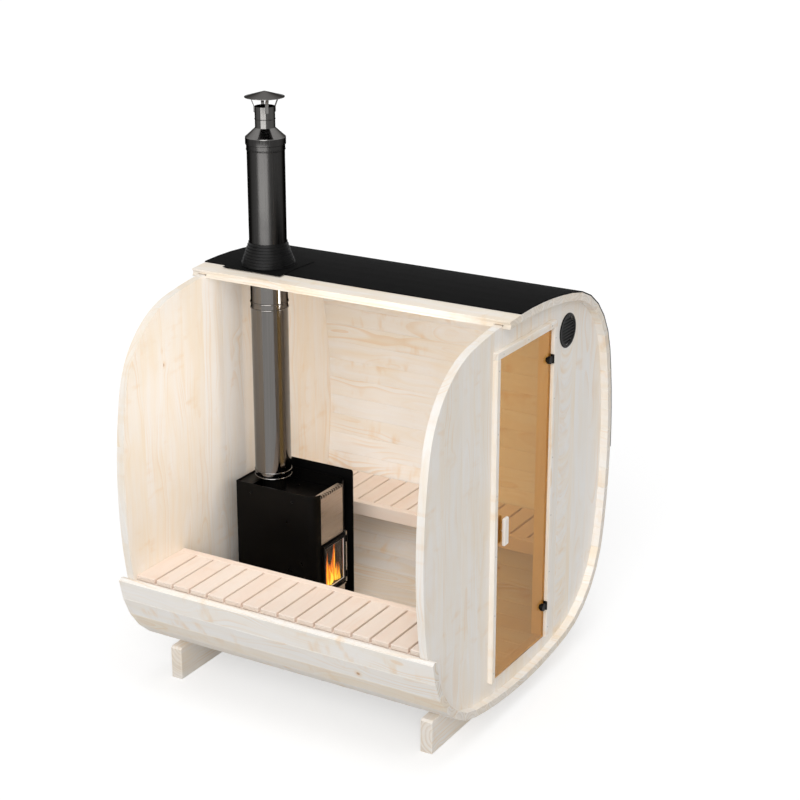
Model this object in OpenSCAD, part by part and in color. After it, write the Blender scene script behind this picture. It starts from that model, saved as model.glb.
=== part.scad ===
// Square-round barrel sauna with an open side, two benches, a wood stove and a chimney.
// Millimetres. +Z up, the glass door faces -Y, the open side faces -X.
// The origin is on the ground under the middle of the barrel.

/* [Barrel] */
// Length of the staves
barrel_len = 2000; // [1800:10:2600]
// Outer width of the barrel
barrel_w = 2140; // [2040:10:2240]
// Outer height of the barrel
barrel_h = 2180; // [2080:10:2280]
// Radius of the slightly bowed floor, roof and sides
bow_r = 2900; // [2600:50:4000]
// Radius of the four rounded corners
corner_r = 587; // [480:1:650]
// Number of staves all round
stave_count = 59; // [51:2:71]
// Thickness of a stave
stave_t = 44; // [38:1:52]
// Gap between neighbouring staves
stave_gap = 0.4; // [0.2:0.1:0.8]
// Radius of the bead along a stave's leading edge
bead_r = 12; // [8:0.5:14]
// How far the bead stands out of the edge
bead_out = 9; // [5:0.5:10]
// First stave left out on the open side
open_first = 11; // [9:1:12]
// Last stave left out on the open side
open_last = 27; // [25:1:28]

/* [End walls] */
// Thickness of the end walls
wall_t = 45; // [36:1:60]
// How far the walls sit back from the ends of the staves
wall_setback = 45; // [30:1:80]
// Depth of the groove that holds the wall in the staves
groove_depth = 20; // [12:1:24]

/* [Cradles] */
// Height of the barrel above the ground
cradle_rise = 105; // [70:5:160]
// Thickness of a cradle beam
cradle_t = 72; // [60:1:100]
// Length of a cradle beam
cradle_len = 1540; // [1300:10:1700]
// Height of a cradle beam at its ends
cradle_end_h = 195; // [150:5:230]
// Distance from the middle of a cradle to the end of the staves
cradle_inset = 180; // [140:5:400]
// Chamfer on the ends of a cradle
cradle_chamfer = 12; // [4:1:25]

/* [Door] */
// Width of the glass
glass_w = 606; // [540:2:640]
// Upper edge of the glass below the barrel's top
glass_top = 200; // [180:2:320]
// Lower edge of the glass above the barrel's underside
glass_low = 150; // [130:1:180]
// Thickness of the glass
glass_t = 8; // [6:1:10]
// Clearance round the glass
glass_gap = 7; // [6:0.5:9]
// Clearance between the glass and the wall's face
glass_stand = 5; // [5:0.5:8]
// Width of the casing battens beside the glass
casing_w = 33; // [25:1:50]
// How far the casing stands out of the wall
casing_d = 30; // [26:1:34]
// Height of the casing batten over the glass
casing_head_h = 38; // [30:1:80]
// Thickness of the lining boards in the doorway
lining_t = 30; // [20:1:40]
// Depth of the lining boards
lining_d = 63; // [56:1:100]
// How far the glass laps over the lining
glass_lap = 6; // [3:0.5:10]
// Diameter of the hinge discs on the glass
hinge_disc_d = 43; // [40:1:56]
// Depth of the hinge discs in front of the glass
hinge_disc_t = 18; // [10:1:20]
// Distance from the middle of a hinge disc to the edge of the glass
hinge_inset = 32; // [28:1:36]
// Lower hinge above the lower edge of the glass
hinge_low = 199; // [120:1:320]
// Upper hinge below the upper edge of the glass
hinge_high = 165; // [120:1:320]
// Radius of the hinge pins
hinge_pin_r = 3; // [2.5:0.5:4]
// Height of the door handle
handle_h = 160; // [120:5:240]
// Width of the door handle
handle_w = 46; // [30:1:60]
// Thickness of the door handle
handle_t = 20; // [16:1:22]
// Space between the handle and the glass
handle_off = 10; // [6:1:11]
// Height of the handle's middle above the barrel's underside
handle_z = 1007; // [900:1:1100]
// Distance from the middle of the handle to the edge of the glass
handle_inset = 73; // [60:1:100]

/* [Vent] */
// Outer diameter of the vent's rim
vent_d = 195; // [160:5:240]
// Sideways place of the vent
vent_x = 530; // [480:5:560]
// Middle of the vent below the barrel's top
vent_drop = 270; // [260:5:430]
// Number of louvres
louvre_count = 9; // [5:1:12]

/* [Benches] */
// Height of the bench tops above the barrel's underside
bench_z = 600; // [560:5:640]
// Distance from the middle of the barrel to the benches
bench_inner = 540; // [500:5:600]
// Number of slats in a bench
slat_count = 16; // [12:1:18]
// Back wall to the middle of the first gap between slats
slat_back = 127; // [100:1:140]
// Front wall to the middle of the last gap between slats
slat_front = 79; // [60:1:110]
// Gap between the slats
slat_gap = 14; // [8:1:20]
// Thickness of a slat
slat_t = 28; // [20:1:34]
// Thickness of the bench's edge board
edge_t = 45; // [32:1:60]
// Height of the bench's edge board
edge_h = 82; // [70:1:120]
// Width and height of the bearers under the slats
bearer_s = 40; // [30:1:45]

/* [Roof] */
// Thickness of the roofing felt
felt_t = 6; // [3:0.5:8]
// Staves covered to the left of the roof's middle
felt_left_count = 1; // [1:1:2]
// Staves covered to the right of the roof's middle
felt_right_count = 15; // [8:1:18]
// Width of the flashing plate across the roof
plate_w = 340; // [320:5:380]
// Length of the flashing plate along the roof
plate_l = 386; // [320:2:420]
// Thickness of the flashing plate
plate_t = 3; // [2:0.5:5]
// Diameter of the rubber boot at its foot
boot_d = 300; // [270:2:320]
// Height of the rubber boot
boot_h = 130; // [100:5:180]
// Number of steps on the boot
boot_steps = 8; // [5:1:10]

/* [Stove] */
// Width of the stove
stove_w = 350; // [320:2:400]
// Depth of the stove
stove_d = 543; // [480:1:580]
// Height of the stove above the floor
stove_h = 868; // [800:2:900]
// Gap between the stove and the back wall
stove_back_gap = 117; // [90:1:150]
// Radius of the stove's front corners
stove_corner_r = 60; // [40:1:70]
// Thickness of the stove's sheet steel
sheet_t = 4; // [3:0.5:6]
// Height of the stove's legs
leg_h = 40; // [25:1:60]
// Height of the steel front plate
front_plate_h = 300; // [260:2:320]
// Height of the fire door
fire_door_h = 288; // [240:2:300]
// Thickness of the fire door
fire_door_t = 12; // [10:1:16]
// Width of the fire door's frame bars
fire_frame_w = 16; // [12:1:24]
// Clearance between the fire door and the stove
fire_door_stand = 5; // [5:0.5:8]
// Height of the ash pan's front
ash_front_h = 52; // [40:1:70]
// Thickness of the firebox walls
firebox_t = 12; // [8:1:16]
// Gap between the stove and its side shield
shield_gap = 30; // [20:1:40]
// How far the side shield stands above the stove
shield_rise = 45; // [20:1:80]

/* [Chimney] */
// Diameter of the insulated pipe
pipe_d = 211; // [180:1:220]
// Diameter of the flue inside it
flue_d = 106; // [90:1:120]
// Distance from the middle of the pipe to the back of the stove
pipe_inset = 143; // [125:1:180]
// Joint between the two pipe lengths below the barrel's top
pipe_joint_drop = 235; // [185:5:485]
// Insulated pipe above the barrel's top
pipe_rise = 665; // [450:5:800]
// Height of the band under the cone
band_h = 66; // [40:2:90]
// Height of the cone
cone_h = 48; // [30:1:80]
// Height of the bare flue above the cone
stub_h = 116; // [90:2:160]
// Diameter of the rain cap
cap_d = 222; // [190:2:280]
// Height of the rain cap's cone
cap_h = 31; // [24:1:60]
// Height of the gap under the rain cap
cap_gap = 50; // [40:1:90]

/* [Hidden] */
$fn = 96;
seat = 0.3;
half_w = barrel_w / 2;
half_h = barrel_h / 2;
half_len = barrel_len / 2;
mid_z = cradle_rise + half_h;
roof_z = cradle_rise + barrel_h;
floor_z = cradle_rise + stave_t;
far = 3000;

// The rounded section: bows of one radius on all four sides, joined by tangent corner arcs.
bow_side = [half_w - bow_r, 0];
bow_top = [0, half_h - bow_r];
bow_mid = (bow_side + bow_top) / 2;
bow_span = norm(bow_top - bow_side);
bow_normal = [bow_top[1] - bow_side[1], bow_side[0] - bow_top[0]] / -bow_span;
bow_reach = sqrt(pow(bow_r - corner_r, 2) - pow(bow_span / 2, 2));
corner_c = bow_mid + bow_normal * bow_reach;
angle_top = atan2(corner_c[0], corner_c[1] - bow_top[1]);
angle_side = atan2(corner_c[1], corner_c[0] - bow_side[0]);
len_top = bow_r * angle_top * PI / 180;
len_corner = corner_r * (90 - angle_top - angle_side) * PI / 180;
len_side = bow_r * angle_side * PI / 180;
quarter = len_top + len_corner + len_side;
pitch = 4 * quarter / stave_count;

// Angle of the outward normal, from straight down, at arc length t of the lower left quarter
function lean(t) = t < len_top ? t / bow_r * 180 / PI
    : t < len_top + len_corner ? angle_top + (t - len_top) / corner_r * 180 / PI
    : 90 - angle_side + (t - len_top - len_corner) / bow_r * 180 / PI;
function ray(t) = [sin(lean(t)), -cos(lean(t))];
function quarter_point(t) = t < len_top ? [0, bow_r - half_h] + bow_r * ray(t)
    : t < len_top + len_corner ? [corner_c[0], -corner_c[1]] + corner_r * ray(t)
    : bow_side + bow_r * ray(t);
// Signs that carry the lower right quarter round the whole section, from the floor's middle to the left
function turn(s) = s < quarter ? [-1, 1] : s < 2 * quarter ? [-1, -1] : s < 3 * quarter ? [1, -1] : [1, 1];
function fold(s) = s < quarter ? s : s < 2 * quarter ? 2 * quarter - s
    : s < 3 * quarter ? s - 2 * quarter : 4 * quarter - s;
function wrap(s) = s < 0 ? s + 4 * quarter : s >= 4 * quarter ? s - 4 * quarter : s;
function flip(p, s) = [p[0] * turn(s)[0], p[1] * turn(s)[1]];
function rim(s, out = 0) = let (w = wrap(s))
    [0, mid_z] + flip(quarter_point(fold(w)) + out * ray(fold(w)), w);
function joint(k, out = 0) = rim((k - 0.5) * pitch, out);
roof_joint = (stave_count + 1) / 2;

sagitta = pow(pitch, 2) / (8 * corner_r);
wall_inset = stave_t - groove_depth + sagitta + seat;
wall_front = -half_len + wall_setback;
wall_back = half_len - wall_setback;
front_inside = wall_front + wall_t;
back_inside = wall_back - wall_t;

glass_z0 = cradle_rise + glass_low;
glass_z1 = roof_z - glass_top;
glass_back = wall_front - glass_stand;
glass_front = glass_back - glass_t;
casing_x = glass_w / 2 + glass_gap;
casing_y = wall_front - casing_d;
casing_z1 = glass_z1 + glass_gap;
casing_low = glass_z0 - 4;
lining_x = glass_w / 2 - glass_lap;
opening_x = lining_x + lining_t;
sill_z = glass_z0 + glass_lap;
lining_z1 = glass_z1 - glass_lap;
head_z = lining_z1 + lining_t;
hinge_x = glass_w / 2 - 3;
hinge_disc_x = glass_w / 2 - hinge_inset;
hinge_y = casing_y;
hinge_barrel_r = hinge_pin_r + 3;
hinge_barrel_h = 34;
hinge_lug_h = 6;
hinge_bolt_r = 7.5;
pin_clear = 0.08;
lug_clear = 0.5;
hinge_heights = [glass_z0 + hinge_low, glass_z1 - hinge_high];
handle_x = -glass_w / 2 + handle_inset;
handle_peg_r = 6;

vent_rim_w = 17;
vent_proud = 7;
vent_hole_r = vent_d / 2 - vent_rim_w - 4;
louvre_h = 8;

bench_top = cradle_rise + bench_z;
bench_len = back_inside - front_inside;
slat_pitch = (bench_len - slat_back - slat_front) / (slat_count - 2);

felt_lift = seat;
plate_lift = felt_lift + felt_t + seat;
boot_z = roof_z + plate_lift + plate_t + seat;
boot_wall = 4;

stove_y1 = back_inside - stove_back_gap;
stove_y0 = stove_y1 - stove_d;
stove_x = stove_w / 2;
stove_top = floor_z + stove_h;
jacket_z = floor_z + leg_h;
flat_x = stove_x - stove_corner_r;
plate_z = stove_top - 14 - front_plate_h;
fire_door_gap = 10;
fire_door_z1 = plate_z - fire_door_gap;
fire_door_z0 = fire_door_z1 - fire_door_h;
fire_door_y1 = stove_y0 - fire_door_stand;
fire_door_y0 = fire_door_y1 - fire_door_t;
fire_door_x = flat_x - 2;
fire_glass_t = 5;
rod_r = 5;
rod_x = flat_x + 15;
rod_y = (fire_door_y0 + fire_door_y1) / 2;
rod_over = 16;
knuckle_r = rod_r + 4;
knuckle_h = 40;
bracket_h = 8;
crown_t = 20;
base_t = 6;
crown_drop = 97;
crown_z = stove_top - crown_drop;
shield_x = stove_x + shield_gap;
shield_y0 = stove_y0 - 15;
spacer_r = 9;
spacer_front = 40;
spacer_back = 60;
spacer_low = 120;
spacer_high = 80;
leg_r = 12;
leg_x = stove_x - 45;

pipe_y = stove_y1 - pipe_inset;
pipe_r = pipe_d / 2;
flue_r = flue_d / 2;
collar_r = flue_r + 12;
pipe_z0 = stove_top + 10;
ring_out = 4;
ring_h = 9;
roof_hole_r = pipe_r + 3;
pipe_joint_z = roof_z - pipe_joint_drop;
pipe_top_z = roof_z + pipe_rise;
band_z = pipe_top_z;
cone_z = band_z + band_h;
stub_z = cone_z + cone_h;
stub_top = stub_z + stub_h;
cap_z = stub_top + cap_gap;
cap_t = 2.5;
cap_slope = cap_h / (cap_d / 2);
stub_wall = 3;

pale_pine = "#f0e6d4";
pale_aspen = "#f3d9c8";
black_steel = "#161413";
bright_steel = "#a8a29c";
dark_steel = "#4a4846";
rubber = "#1b1b1c";

// Draws a flat outline of X and Z and gives it the length from y0 to y1
module along_y(y0, y1) {
    translate([0, y1, 0]) rotate([90, 0, 0]) linear_extrude(height = y1 - y0) children();
}

module box(x0, x1, y0, y1, z0, z1) {
    translate([x0, y0, z0]) cube([x1 - x0, y1 - y0, z1 - z0]);
}

// The smooth section, drawn inset from the outside of the staves
module section(inset) {
    big = bow_r - inset;
    translate([0, mid_z]) {
        difference() {
            intersection() {
                translate(bow_side) circle(r = big, $fn = 200);
                translate(-bow_side) circle(r = big, $fn = 200);
                translate(bow_top) circle(r = big, $fn = 200);
                translate(-bow_top) circle(r = big, $fn = 200);
            }
            for (sx = [-1, 1], sz = [-1, 1]) corner_wedge(sx, sz);
        }
        for (sx = [-1, 1], sz = [-1, 1])
            translate([sx * corner_c[0], sz * corner_c[1]]) circle(r = corner_r - inset);
    }
}

// The part of a corner that lies between the two tangent points
module corner_wedge(sx, sz) {
    c = corner_c;
    steep = [sin(angle_top), cos(angle_top)] * corner_r * 2;
    shallow = [cos(angle_side), sin(angle_side)] * corner_r * 2;
    points = [c, c + steep, c + steep + shallow, c + shallow];
    polygon([for (p = points) [p[0] * sx, p[1] * sz]]);
}

// The many-sided outside of the staves, moved outwards
module stave_outline(out) {
    polygon([for (k = [0:stave_count - 1]) joint(k, out)]);
}

// Middle of the edge between stave k - 1 and stave k, and the way towards stave k
function edge_mid(k) = (joint(k) + joint(k, -stave_t)) / 2;
function edge_way(k) = let (d = joint(k + 1) - joint(k - 1)) d / norm(d);
function bead_centre(k) = edge_mid(k) + edge_way(k) * (bead_out - bead_r);

module stave_outline_of(k) {
    way_a = edge_way(k) * stave_gap / 2;
    way_b = edge_way(k + 1) * stave_gap / 2;
    difference() {
        union() {
            polygon([joint(k) + way_a, joint(k + 1) - way_b,
                joint(k + 1, -stave_t) - way_b, joint(k, -stave_t) + way_a]);
            translate(bead_centre(k + 1)) circle(r = bead_r, $fn = 32);
        }
        translate(bead_centre(k)) circle(r = bead_r + stave_gap, $fn = 32);
    }
}

// One stave, with a groove near each end for the end walls
module stave(k) {
    difference() {
        along_y(-half_len, half_len) stave_outline_of(k);
        for (y = [wall_front, back_inside])
            along_y(y - seat, y + wall_t + seat) groove_outline(k);
    }
}

// The inner side of stave k, down to the floor of its groove, with room at both edges
module groove_outline(k) {
    a = joint(k, groove_depth - stave_t);
    b = joint(k + 1, groove_depth - stave_t);
    over = (b - a) / norm(b - a) * bead_r;
    inward = [-(b - a)[1], (b - a)[0]] / norm(b - a) * (groove_depth + bead_r);
    side = inward * (([0, mid_z] - a) * inward > 0 ? 1 : -1);
    polygon([a - over, b + over, b + over + side, a - over + side]);
}

module pipe_hole() {
    translate([0, pipe_y, 0]) cylinder(r = roof_hole_r, h = far * 2);
}

module stave_row(first, last) {
    color(pale_pine) for (k = [first:last]) stave(k);
}

module floor_staves() { stave_row(-4, 4); }
module left_staves() { stave_row(5, open_first - 1); }
module roof_staves() {
    color(pale_pine) difference() {
        for (k = [open_last + 1:33]) stave(k);
        pipe_hole();
    }
}
module shoulder_staves() { stave_row(34, 40); }
module right_staves() { stave_row(41, 48); }
module lower_right_staves() { stave_row(49, stave_count - 5); }

module end_wall(y0) {
    along_y(y0, y0 + wall_t) section(wall_inset);
}

module back_wall() {
    color(pale_pine) end_wall(back_inside);
}
module front_wall_left() {
    color(pale_pine) intersection() {
        end_wall(wall_front);
        box(-far, -opening_x, -far, far, 0, far);
    }
}
module front_wall_right() {
    color(pale_pine) difference() {
        intersection() {
            end_wall(wall_front);
            box(opening_x, far, -far, far, 0, far);
        }
        translate([vent_x, 0, roof_z - vent_drop]) rotate([90, 0, 0]) cylinder(r = vent_hole_r, h = far);
    }
}
module front_wall_head() {
    color(pale_pine) intersection() {
        end_wall(wall_front);
        box(-opening_x, opening_x, -far, far, head_z, far);
    }
}
module front_wall_sill() {
    color(pale_pine) intersection() {
        end_wall(wall_front);
        box(-opening_x, opening_x, -far, far, 0, sill_z);
    }
}

module cradle(y) {
    color(pale_pine) along_y(y - cradle_t / 2, y + cradle_t / 2) difference() {
        polygon([[-cradle_len / 2, 0], [cradle_len / 2, 0],
            [cradle_len / 2, cradle_end_h - cradle_chamfer],
            [cradle_len / 2 - cradle_chamfer, cradle_end_h],
            [cradle_chamfer - cradle_len / 2, cradle_end_h],
            [-cradle_len / 2, cradle_end_h - cradle_chamfer]]);
        stave_outline(seat);
    }
}
module front_cradle() { cradle(cradle_inset - half_len); }
module back_cradle() { cradle(half_len - cradle_inset); }

// A sheet that follows the staves from arc length s0 to s1, bending where they meet
module roof_sheet(stops, lift, t) {
    low = [for (s = stops) rim(s, lift)];
    high = [for (i = [len(stops) - 1:-1:0]) rim(stops[i], lift + t)];
    polygon(concat(low, high));
}

module roof_felt() {
    stops = [for (k = [roof_joint - felt_left_count:roof_joint + felt_right_count]) (k - 0.5) * pitch];
    color(rubber) difference() {
        along_y(-half_len, half_len) roof_sheet(stops, felt_lift, felt_t);
        pipe_hole();
    }
}

module flashing_plate() {
    mid = (roof_joint - 0.5) * pitch;
    stops = [mid - plate_w / 2, mid - pitch, mid, mid + pitch, mid + plate_w / 2];
    color(rubber) difference() {
        along_y(pipe_y - plate_l / 2, pipe_y + plate_l / 2) roof_sheet(stops, plate_lift, plate_t);
        pipe_hole();
    }
}

module pipe_boot() {
    top_r = pipe_r + seat + boot_wall;
    step_h = boot_h / boot_steps;
    step_r = (boot_d / 2 - top_r) / (boot_steps - 1);
    outer = [for (i = [0:boot_steps - 1], j = [0, 1]) [boot_d / 2 - i * step_r, (i + j) * step_h]];
    inner = [[pipe_r + seat, boot_h], [pipe_r + seat, boot_h - step_h], [boot_d / 2 - boot_wall, 0]];
    color(rubber) translate([0, pipe_y, boot_z]) rotate_extrude() polygon(concat(outer, inner));
}

module door_casing() {
    color(pale_pine) {
        for (s = [-1, 1]) mirror([s < 0 ? 1 : 0, 0, 0])
            box(casing_x, casing_x + casing_w, casing_y, wall_front, casing_low, casing_z1 - seat);
        box(-casing_x - casing_w, casing_x + casing_w, casing_y, wall_front, casing_z1,
            casing_z1 + casing_head_h);
    }
}

module door_lining() {
    y1 = wall_front + lining_d;
    color(pale_pine) {
        for (s = [-1, 1]) mirror([s < 0 ? 1 : 0, 0, 0])
            box(lining_x, opening_x, wall_front, y1, sill_z, lining_z1 - seat);
        box(-opening_x, opening_x, wall_front, y1, lining_z1, head_z);
    }
}

// A lug plate on the casing, with an upright pin for the door's barrel
module hinge_bracket(z) {
    plate_x = hinge_x + hinge_barrel_r + 1;
    lug_z = hinge_barrel_h / 2 + lug_clear;
    translate([0, hinge_y, z]) {
        box(plate_x, casing_x, 0, casing_d - 4, -lug_z - hinge_lug_h, lug_z + hinge_lug_h);
        for (s = [-1, 1]) translate([0, 0, s * (lug_z + hinge_lug_h / 2)]) {
            translate([hinge_x, 0, -hinge_lug_h / 2]) cylinder(r = hinge_barrel_r, h = hinge_lug_h);
            box(hinge_x, casing_x, 0, hinge_barrel_r, -hinge_lug_h / 2, hinge_lug_h / 2);
        }
        translate([hinge_x, 0, -lug_z - 1]) cylinder(r = hinge_pin_r, h = 2 * lug_z + 2);
    }
}
module hinge_brackets() {
    color(black_steel) for (z = hinge_heights) hinge_bracket(z);
}

module door_glass() {
    color("#8a6a44", 0.6) difference() {
        box(-glass_w / 2, glass_w / 2, glass_front, glass_back, glass_z0, glass_z1);
        for (z = hinge_heights) across_glass(hinge_disc_x, z, hinge_bolt_r + seat, -far, far);
        across_glass(handle_x, cradle_rise + handle_z, handle_peg_r + seat, -far, far);
    }
}

// A round bar along Y at a place on the door
module across_glass(x, z, r, y0, y1) {
    translate([x, y1, z]) rotate([90, 0, 0]) cylinder(r = r, h = y1 - y0);
}

// A clamp disc on the glass, its bolt and nut, and the arm to the barrel on the pin
module door_hinge(z) {
    disc_y0 = glass_front - seat - hinge_disc_t;
    nut_t = 5;
    nut_r = hinge_bolt_r * 1.8;
    difference() {
        union() {
            across_glass(hinge_disc_x, z, hinge_disc_d / 2, disc_y0, glass_front - seat);
            across_glass(hinge_disc_x, z, hinge_bolt_r, disc_y0 + 1, glass_back + seat + nut_t);
            across_glass(hinge_disc_x, z, nut_r, glass_back + seat, glass_back + seat + nut_t);
            translate([hinge_x, hinge_y, z - hinge_barrel_h / 2])
                cylinder(r = hinge_barrel_r, h = hinge_barrel_h);
            box(hinge_disc_x, hinge_x, disc_y0 + 1, hinge_y + hinge_barrel_r,
                z - hinge_barrel_h / 2, z + hinge_barrel_h / 2);
        }
        translate([hinge_x, hinge_y, z - hinge_disc_d])
            cylinder(r = hinge_pin_r + pin_clear, h = hinge_disc_d * 2);
    }
}
module door_hinges() {
    color(black_steel) for (z = hinge_heights) door_hinge(z);
}

module handle_block(y) {
    translate([handle_x - handle_w / 2, y, cradle_rise + handle_z - handle_h / 2])
        cube([handle_w, handle_t, handle_h]);
}
module door_handle() {
    y_out = glass_front - handle_off - handle_t;
    y_in = glass_back + handle_off;
    color(pale_pine) {
        handle_block(y_out);
        handle_block(y_in);
        across_glass(handle_x, cradle_rise + handle_z, handle_peg_r, y_out + 1, y_in + 1);
    }
}

module wall_vent() {
    rim_r = vent_d / 2;
    open_r = rim_r - vent_rim_w;
    step = 2 * open_r / louvre_count;
    color(black_steel) translate([vent_x, wall_front, roof_z - vent_drop]) rotate([90, 0, 0]) {
        rotate_extrude() polygon([[open_r, 0], [rim_r, 0], [rim_r, vent_proud / 2],
            [rim_r - 4, vent_proud], [open_r, vent_proud]]);
        translate([0, 0, 1]) linear_extrude(height = vent_proud - 4) intersection() {
            circle(r = open_r + 1);
            for (i = [0:louvre_count - 1])
                translate([-rim_r, -open_r + (i + 0.5) * step - louvre_h / 2]) square([2 * rim_r, louvre_h]);
        }
        translate([0, 0, -wall_t]) difference() {
            cylinder(r = vent_hole_r - seat, h = wall_t + 2);
            translate([0, 0, -1]) cylinder(r = vent_hole_r - seat - 3, h = wall_t + 4);
        }
    }
}

// Inner face of the staves at height z, on the right
function inside_x(z) = let (h = abs(z - mid_z), big = bow_r - stave_t, small = corner_r - stave_t)
    h < corner_c[1] ? bow_side[0] + sqrt(big * big - h * h)
    : corner_c[0] + sqrt(small * small - pow(h - corner_c[1], 2));
slat_out = inside_x(bench_top - slat_t) - sagitta - 1;
bearer_out = inside_x(bench_top - slat_t - bearer_s) - sagitta - 1;

// Middle of gap i between the slats, counted from the back wall
function slat_gap_y(i) = back_inside - slat_back - i * slat_pitch;

module bench_slats() {
    for (i = [0:slat_count - 1]) {
        y0 = i == slat_count - 1 ? front_inside + seat : slat_gap_y(i) + slat_gap / 2;
        y1 = i == 0 ? back_inside - seat : slat_gap_y(i - 1) - slat_gap / 2;
        box(bench_inner + edge_t + seat, slat_out, y0, y1, bench_top - slat_t, bench_top);
    }
}
module bench_edge() {
    box(bench_inner, bench_inner + edge_t, front_inside + seat, back_inside - seat, bench_top - edge_h, bench_top);
}
module bench_bearers() {
    z1 = bench_top - slat_t - seat;
    x_in = bench_inner + edge_t + seat;
    for (x = [x_in, bearer_out - bearer_s])
        box(x, x + bearer_s, front_inside + seat, back_inside - seat, z1 - bearer_s, z1);
}
module left_side() { mirror([1, 0, 0]) children(); }
module left_bench_slats() { color(pale_aspen) left_side() bench_slats(); }
module left_bench_edge() { color(pale_aspen) left_side() bench_edge(); }
module left_bench_bearers() { color(pale_aspen) left_side() bench_bearers(); }
module right_bench_slats() { color(pale_aspen) bench_slats(); }
module right_bench_edge() { color(pale_aspen) bench_edge(); }
module right_bench_bearers() { color(pale_aspen) bench_bearers(); }

// The space inside the stove's sheet steel
core_x = stove_x - sheet_t - seat;
core_y1 = stove_y1 - sheet_t - seat;
core_y0 = stove_y0 + sheet_t + seat;

// A level plate that fills the stove's plan, behind and between the rounded corners
module stove_deck(z, t) {
    box(-core_x, core_x, stove_y0 + stove_corner_r, core_y1, z, z + t);
    box(seat - flat_x, flat_x - seat, core_y0, stove_y0 + stove_corner_r + 1, z, z + t);
}

module stove_base() {
    foot_z = floor_z + pow(leg_x + leg_r, 2) / (2 * bow_r) + seat + 1;
    color(black_steel) {
        stove_deck(jacket_z, base_t);
        for (x = [-leg_x, leg_x], y = [stove_y0 + stove_corner_r + 30, core_y1 - 30])
            translate([x, y, foot_z]) cylinder(r = leg_r, h = jacket_z + base_t / 2 - foot_z);
    }
}

// One side sheet with its rounded front corner
module jacket_outline() {
    translate([stove_x - sheet_t, stove_y0 + stove_corner_r]) square([sheet_t, stove_d - stove_corner_r]);
    translate([flat_x, stove_y0 + stove_corner_r]) intersection() {
        difference() {
            circle(r = stove_corner_r);
            circle(r = stove_corner_r - sheet_t);
        }
        translate([0, -stove_corner_r]) square(stove_corner_r);
    }
}
module stove_jacket() {
    color(black_steel) for (s = [0, 1]) mirror([s, 0, 0])
        translate([0, 0, jacket_z]) linear_extrude(height = stove_top - jacket_z) jacket_outline();
}

module stove_back() {
    color(black_steel) {
        box(-core_x, core_x, stove_y1 - sheet_t, stove_y1, jacket_z, stove_top);
        difference() {
            box(-core_x, core_x, pipe_y + 40, stove_y1 - sheet_t + 1, stove_top - 14, stove_top - 8);
            translate([0, pipe_y, 0]) cylinder(r = collar_r + 4, h = far);
        }
    }
}

module stove_front_plate() {
    slots = 10;
    lip = 36;
    x = flat_x - seat;
    pitch_x = 2 * x / slots;
    z1 = plate_z + front_plate_h;
    color(bright_steel) difference() {
        union() {
            box(-x, x, stove_y0, stove_y0 + 3, plate_z, z1);
            box(-x, x, stove_y0, stove_y0 + lip, z1 - 3, z1);
        }
        for (i = [0:slots - 1]) translate([-x + (i + 0.5) * pitch_x, 0, 0])
            box(-pitch_x * 0.28, pitch_x * 0.28, stove_y0 - 1, stove_y0 + 16, z1 - 16, z1 + 1);
    }
}

module stove_front_frame() {
    x = flat_x - seat;
    color(black_steel) difference() {
        box(-x, x, stove_y0, stove_y0 + sheet_t, jacket_z, plate_z - seat);
        box(-x + 20, x - 20, stove_y0 - 1, stove_y0 + sheet_t + 1, fire_door_z0 + 14, fire_door_z1 - 14);
    }
}

module ash_pan_front() {
    z1 = fire_door_z0 - 20;
    color(bright_steel) {
        box(-flat_x, flat_x, stove_y0 - 10, stove_y0, z1 - ash_front_h, z1);
        box(-flat_x, flat_x, stove_y0 - 18, stove_y0 - 9, z1 - 5, z1);
    }
}

module firebox() {
    x1 = flat_x - 3;
    x0 = x1 - firebox_t;
    y1 = pipe_y - 40;
    z0 = jacket_z + base_t + seat;
    hearth_z = fire_door_z0 + 4;
    lid_z = fire_door_z1 + 4;
    color(dark_steel) {
        for (s = [0, 1]) mirror([s, 0, 0]) box(x0, x1, core_y0, y1 + firebox_t, z0, crown_z - seat);
        box(-x0 + seat, x0 - seat, y1, y1 + firebox_t, z0, crown_z - seat);
        box(-x0 + seat, x0 - seat, core_y0, y1 - seat, hearth_z - firebox_t, hearth_z);
        box(-x0 + seat, x0 - seat, core_y0, y1 - seat, lid_z, lid_z + firebox_t);
    }
}

module stove_crown() {
    color(black_steel) difference() {
        union() {
            stove_deck(crown_z, crown_t);
            translate([0, pipe_y, crown_z]) cylinder(r = collar_r, h = pipe_z0 - crown_z);
            translate([0, pipe_y, crown_z + crown_t]) cylinder(r = collar_r + 3, h = ring_h);
        }
        translate([0, pipe_y, 0]) cylinder(r = flue_r, h = far);
    }
}

// The plate that shields the bench from the stove, on four distance pieces
module side_shield() {
    z1 = stove_top + shield_rise;
    round_r = 16;
    y1 = stove_y1;
    color(black_steel) {
        translate([shield_x, 0, 0]) rotate([90, 0, 90]) linear_extrude(height = sheet_t) {
            translate([shield_y0 + round_r, jacket_z]) square([y1 - shield_y0 - round_r, z1 - jacket_z]);
            translate([shield_y0, jacket_z]) square([round_r + 1, z1 - jacket_z - round_r]);
            translate([shield_y0 + round_r, z1 - round_r]) circle(r = round_r);
        }
        for (y = [stove_y0 + stove_corner_r + spacer_front, stove_y1 - spacer_back])
            for (z = [jacket_z + spacer_low, stove_top - spacer_high])
                translate([stove_x, y, z]) rotate([0, 90, 0]) cylinder(r = spacer_r, h = shield_gap + 1);
    }
}

module fire_door_rod() {
    z0 = fire_door_z0 - rod_over;
    z1 = fire_door_z1 + rod_over;
    color(bright_steel) {
        translate([rod_x, rod_y, z0]) cylinder(r = rod_r, h = z1 - z0);
        for (z = [z0, z1 - bracket_h]) box(rod_x - 7, rod_x + 7, rod_y, stove_y0, z, z + bracket_h);
    }
}

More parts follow.
